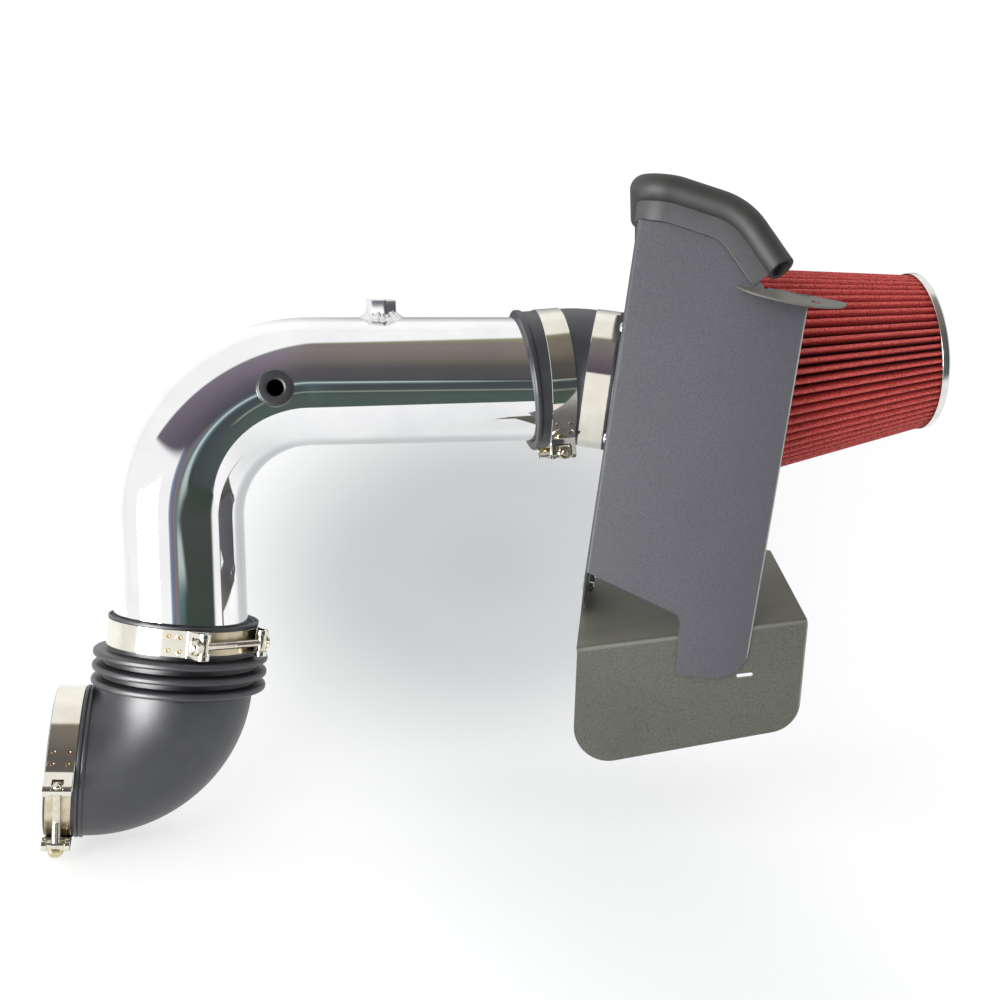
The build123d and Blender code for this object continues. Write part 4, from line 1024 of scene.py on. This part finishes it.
# painted shadow: a soft grey patch behind the pipe, fading to white outwards
spread = add(tree, "VectorMath", {0: place}, {1: (2.9, 0.0, 4.2)}, operation="MULTIPLY")
spread = add(tree, "VectorMath", {0: spread}, {1: (1.16, 0.0, 0.45)}, operation="DISTANCE")
painted_shade = add(tree, "ValToRGB", {"Fac": spread}, stops=[(0.0, "#c8cbcd"), (0.35, "#d0d3d4"), (0.95, "#ffffff")])
painted_shade.color_ramp.interpolation = "EASE"
# painted shade for glossy rays only: a grey band that the metal mirrors
bands = [(0.26, "#ffffff"), (0.32, "#7f8180"), (0.45, "#a5a8a7"), (0.7, "#ffffff")]
band = add(tree, "ValToRGB", {"Fac": axes["Z"]}, stops=bands)
share = add(tree, "MapRange", {"Value": axes["X"]}, {"From Min": 0.1, "From Max": 0.28})
share = add(tree, "Math", {0: share, 1: rays["Is Glossy Ray"]}, operation="MULTIPLY")
pair = {"Factor": share, "A": painted_shade, "B": band}
painted_shade = add(tree, "Mix", pair, data_type="RGBA", blend_type="MULTIPLY")
glow = add(tree, "Emission", {"Color": painted_shade}, {"Strength": 1.18})
tint = {"Factor": 1.0, "B": linear("#f4f5f5")}
tint = add(tree, "Mix", {"A": painted_shade}, tint, data_type="RGBA", blend_type="MULTIPLY")
add(tree, shader, {"Base Color": tint})
lit = add(tree, "Math", {0: rays["Is Camera Ray"], 1: rays["Is Glossy Ray"]}, operation="MAXIMUM")
lit = add(tree, "Math", {0: lit, 1: rays["Is Transmission Ray"]}, operation="MAXIMUM")
lit = add(tree, "Math", {0: lit}, {1: 0.55}, operation="MULTIPLY")
mixed = add(tree, "MixShader", {0: lit, 1: shader, 2: glow})
behind = add(tree, "NewGeometry").outputs["Backfacing"]
mixed = add(tree, "MixShader", {0: behind, 1: mixed, 2: add(tree, "BsdfTransparent")})
add(tree, tree.nodes["Material Output"], {"Surface": mixed})
floor_mesh.materials.append(pale)
floor = bpy.data.objects.new("pale_sweep", floor_mesh)
bpy.context.scene.collection.objects.link(floor)

# surroundings that the polished metal mirrors: white with a taupe wedge above and dark greens low in front
world = bpy.data.worlds.new("studio")
bpy.context.scene.world = world
world.use_nodes = True
tree = world.node_tree
tree.nodes.clear()
look = add(tree, "TexCoord").outputs["Generated"]
axes = add(tree, "SeparateXYZ", {"Vector": look}).outputs
rise = add(tree, "Math", {0: axes["Z"]}, operation="ARCSINE")
rise = add(tree, "Math", {0: rise}, operation="DEGREES")
toward = add(tree, "Math", {0: axes["Y"]}, {1: -1.0}, operation="MULTIPLY")
swing = add(tree, "Math", {0: axes["X"], 1: toward}, operation="ARCTAN2")
swing = add(tree, "Math", {0: swing}, operation="DEGREES")
slope = add(tree, "VectorMath", {0: look}, {1: (-0.491, 0.393, 0.777)}, operation="DOT_PRODUCT")
brink = add(tree, "VectorMath", {0: look}, {1: (0.370, -0.141, 0.9175)}, operation="DOT_PRODUCT")

# colours by an angle from low to high, as (degrees, hex) stops
ramps = [
    ("greens", swing, -20, 120, [
        (-11, "#9799aa"), (-8, "#6e7991"), (-4.5, "#747a8c"), (-3, "#97786a"), (-1.5, "#7d7a7d"),
        (2, "#61797b"), (6, "#5f7779"), (10, "#546769"), (14, "#3d4941"), (44, "#434340"), (52, "#696d70"),
        (58, "#939e9f"), (62, "#ffffff"), (80, "#ffffff"), (83, "#9a9da0"), (100, "#9a9da0"),
        (105, "#ffffff"),
    ]),
    ("steep", rise, -40, 0, [(-30, "#505e58"), (-12, "#484d51")]),
    ("taupe", rise, -20, 90, [
        (-9, "#3d4941"), (-4, "#474a48"), (0, "#535457"), (20, "#595854"), (35, "#767269"), (55, "#847d77"),
        (64, "#847d77"), (70, "#929174"), (74, "#a5a48a"),
    ]),
    ("mauve", rise, -20, 90, [(-10, "#4a4650"), (10, "#5f5866"), (40, "#7c7380"), (70, "#8f8a90")]),
]
views = {}
for name, value, low, high, stops in ramps:
    place = add(tree, "MapRange", {"Value": value}, {"From Min": low, "From Max": high})
    stops = [((angle - low) / (high - low), code) for angle, code in stops]
    views[name] = add(tree, "ValToRGB", {"Fac": place}, stops=stops)

# each layer lays its second colour over its first, inside all its limits: value, where it starts, where full
window = (swing, 0, 3), (swing, 19, 16)
layers = [
    ("below", "greens", "steep", [(rise, -7, -10), (swing, 0, 4), (swing, 62, 54)]),
    ("below", "below", "#bdc9c8", [(rise, -7, -5.5), (rise, -3, -4.5), *window]),
    ("below", "below", "#859087", [(rise, -23, -21.5), (rise, -19, -20.5), *window]),
    ("below", "#ffffff", "below", [(swing, -13, -11)]),
    ("room", "taupe", "mauve", [(swing, 12, -16)]),
    ("above", "#ffffff", "room", [(slope, 0.592, 0.532), (swing, 66, 60)]),
    ("seen", "below", "above", [(brink, 0.105, 0.145)]),
]
for name, under, over, limits in layers:
    share = None
    for value, start, full in limits:
        step = {"From Min": start, "From Max": full}
        one = add(tree, "MapRange", {"Value": value}, step, interpolation_type="SMOOTHSTEP")
        share = one if share is None else add(tree, "Math", {0: share, 1: one}, operation="MULTIPLY")
    pair = {"A": under, "B": over}
    links = {key: views[colour] for key, colour in pair.items() if colour in views}
    plain = {key: linear(colour) for key, colour in pair.items() if colour not in views}
    views[name] = add(tree, "Mix", {"Factor": share, **links}, plain, data_type="RGBA")
white = linear("#ffffff")
rays = add(tree, "LightPath").outputs
mirror = add(tree, "Background", {"Color": views["seen"]}, {"Strength": 1.0})
plain = add(tree, "Background", None, {"Color": white, "Strength": 0.75})
bright = add(tree, "Background", None, {"Color": white, "Strength": 1.0})
mixed = add(tree, "MixShader", {0: rays["Is Glossy Ray"], 1: plain, 2: mirror})
direct = add(tree, "Math", {0: rays["Is Camera Ray"], 1: rays["Is Transmission Ray"]}, operation="MAXIMUM")
mixed = add(tree, "MixShader", {0: direct, 1: mixed, 2: bright})
add(tree, "OutputWorld", {"Surface": mixed})


def soft_light(name, spot, aim, size, watts, mirrored=False):
    """A soft box at spot, turned to aim; it either lights the part or is only mirrored by it."""
    data = bpy.data.lights.new(name, "AREA")
    data.shape = "RECTANGLE"
    data.size, data.size_y = size
    data.energy = watts
    made = bpy.data.objects.new(name, data)
    z_dir = np.array(spot, float) - np.array(aim)
    made.matrix_world = Matrix(placed(np.array(spot) * MM, np.cross((0, 0, 1), z_dir), z_dir).tolist())
    made.visible_glossy = mirrored
    made.visible_diffuse = not mirrored
    bpy.context.scene.collection.objects.link(made)


soft_light("key", (-500.0, -1100.0, 500.0), (300.0, 0.0, 100.0), (0.9, 0.9), 9.0)
soft_light("fill", (1300.0, -900.0, 600.0), (350.0, 0.0, 200.0), (0.9, 0.9), 3.0)
soft_light("tall_box", (-820.0, -800.0, -60.0), (50.0, -40.0, 0.0), (0.8, 0.8), 40.0, True)

# camera where the photograph was taken: 47 degrees across a square frame
ahead = np.array((0.19844, 0.97889, -0.04902))
right = np.array((0.97959, -0.19971, -0.02249))
lens = bpy.data.cameras.new("camera")
lens.sensor_width = 36.0
lens.lens = 41.4
camera = bpy.data.objects.new("camera", lens)
camera.matrix_world = Matrix(placed(np.array((168.24, -927.32, 234.95)) * MM, right, -ahead).tolist())
bpy.context.scene.collection.objects.link(camera)
bpy.context.scene.camera = camera
bpy.context.scene.view_settings.view_transform = "Standard"
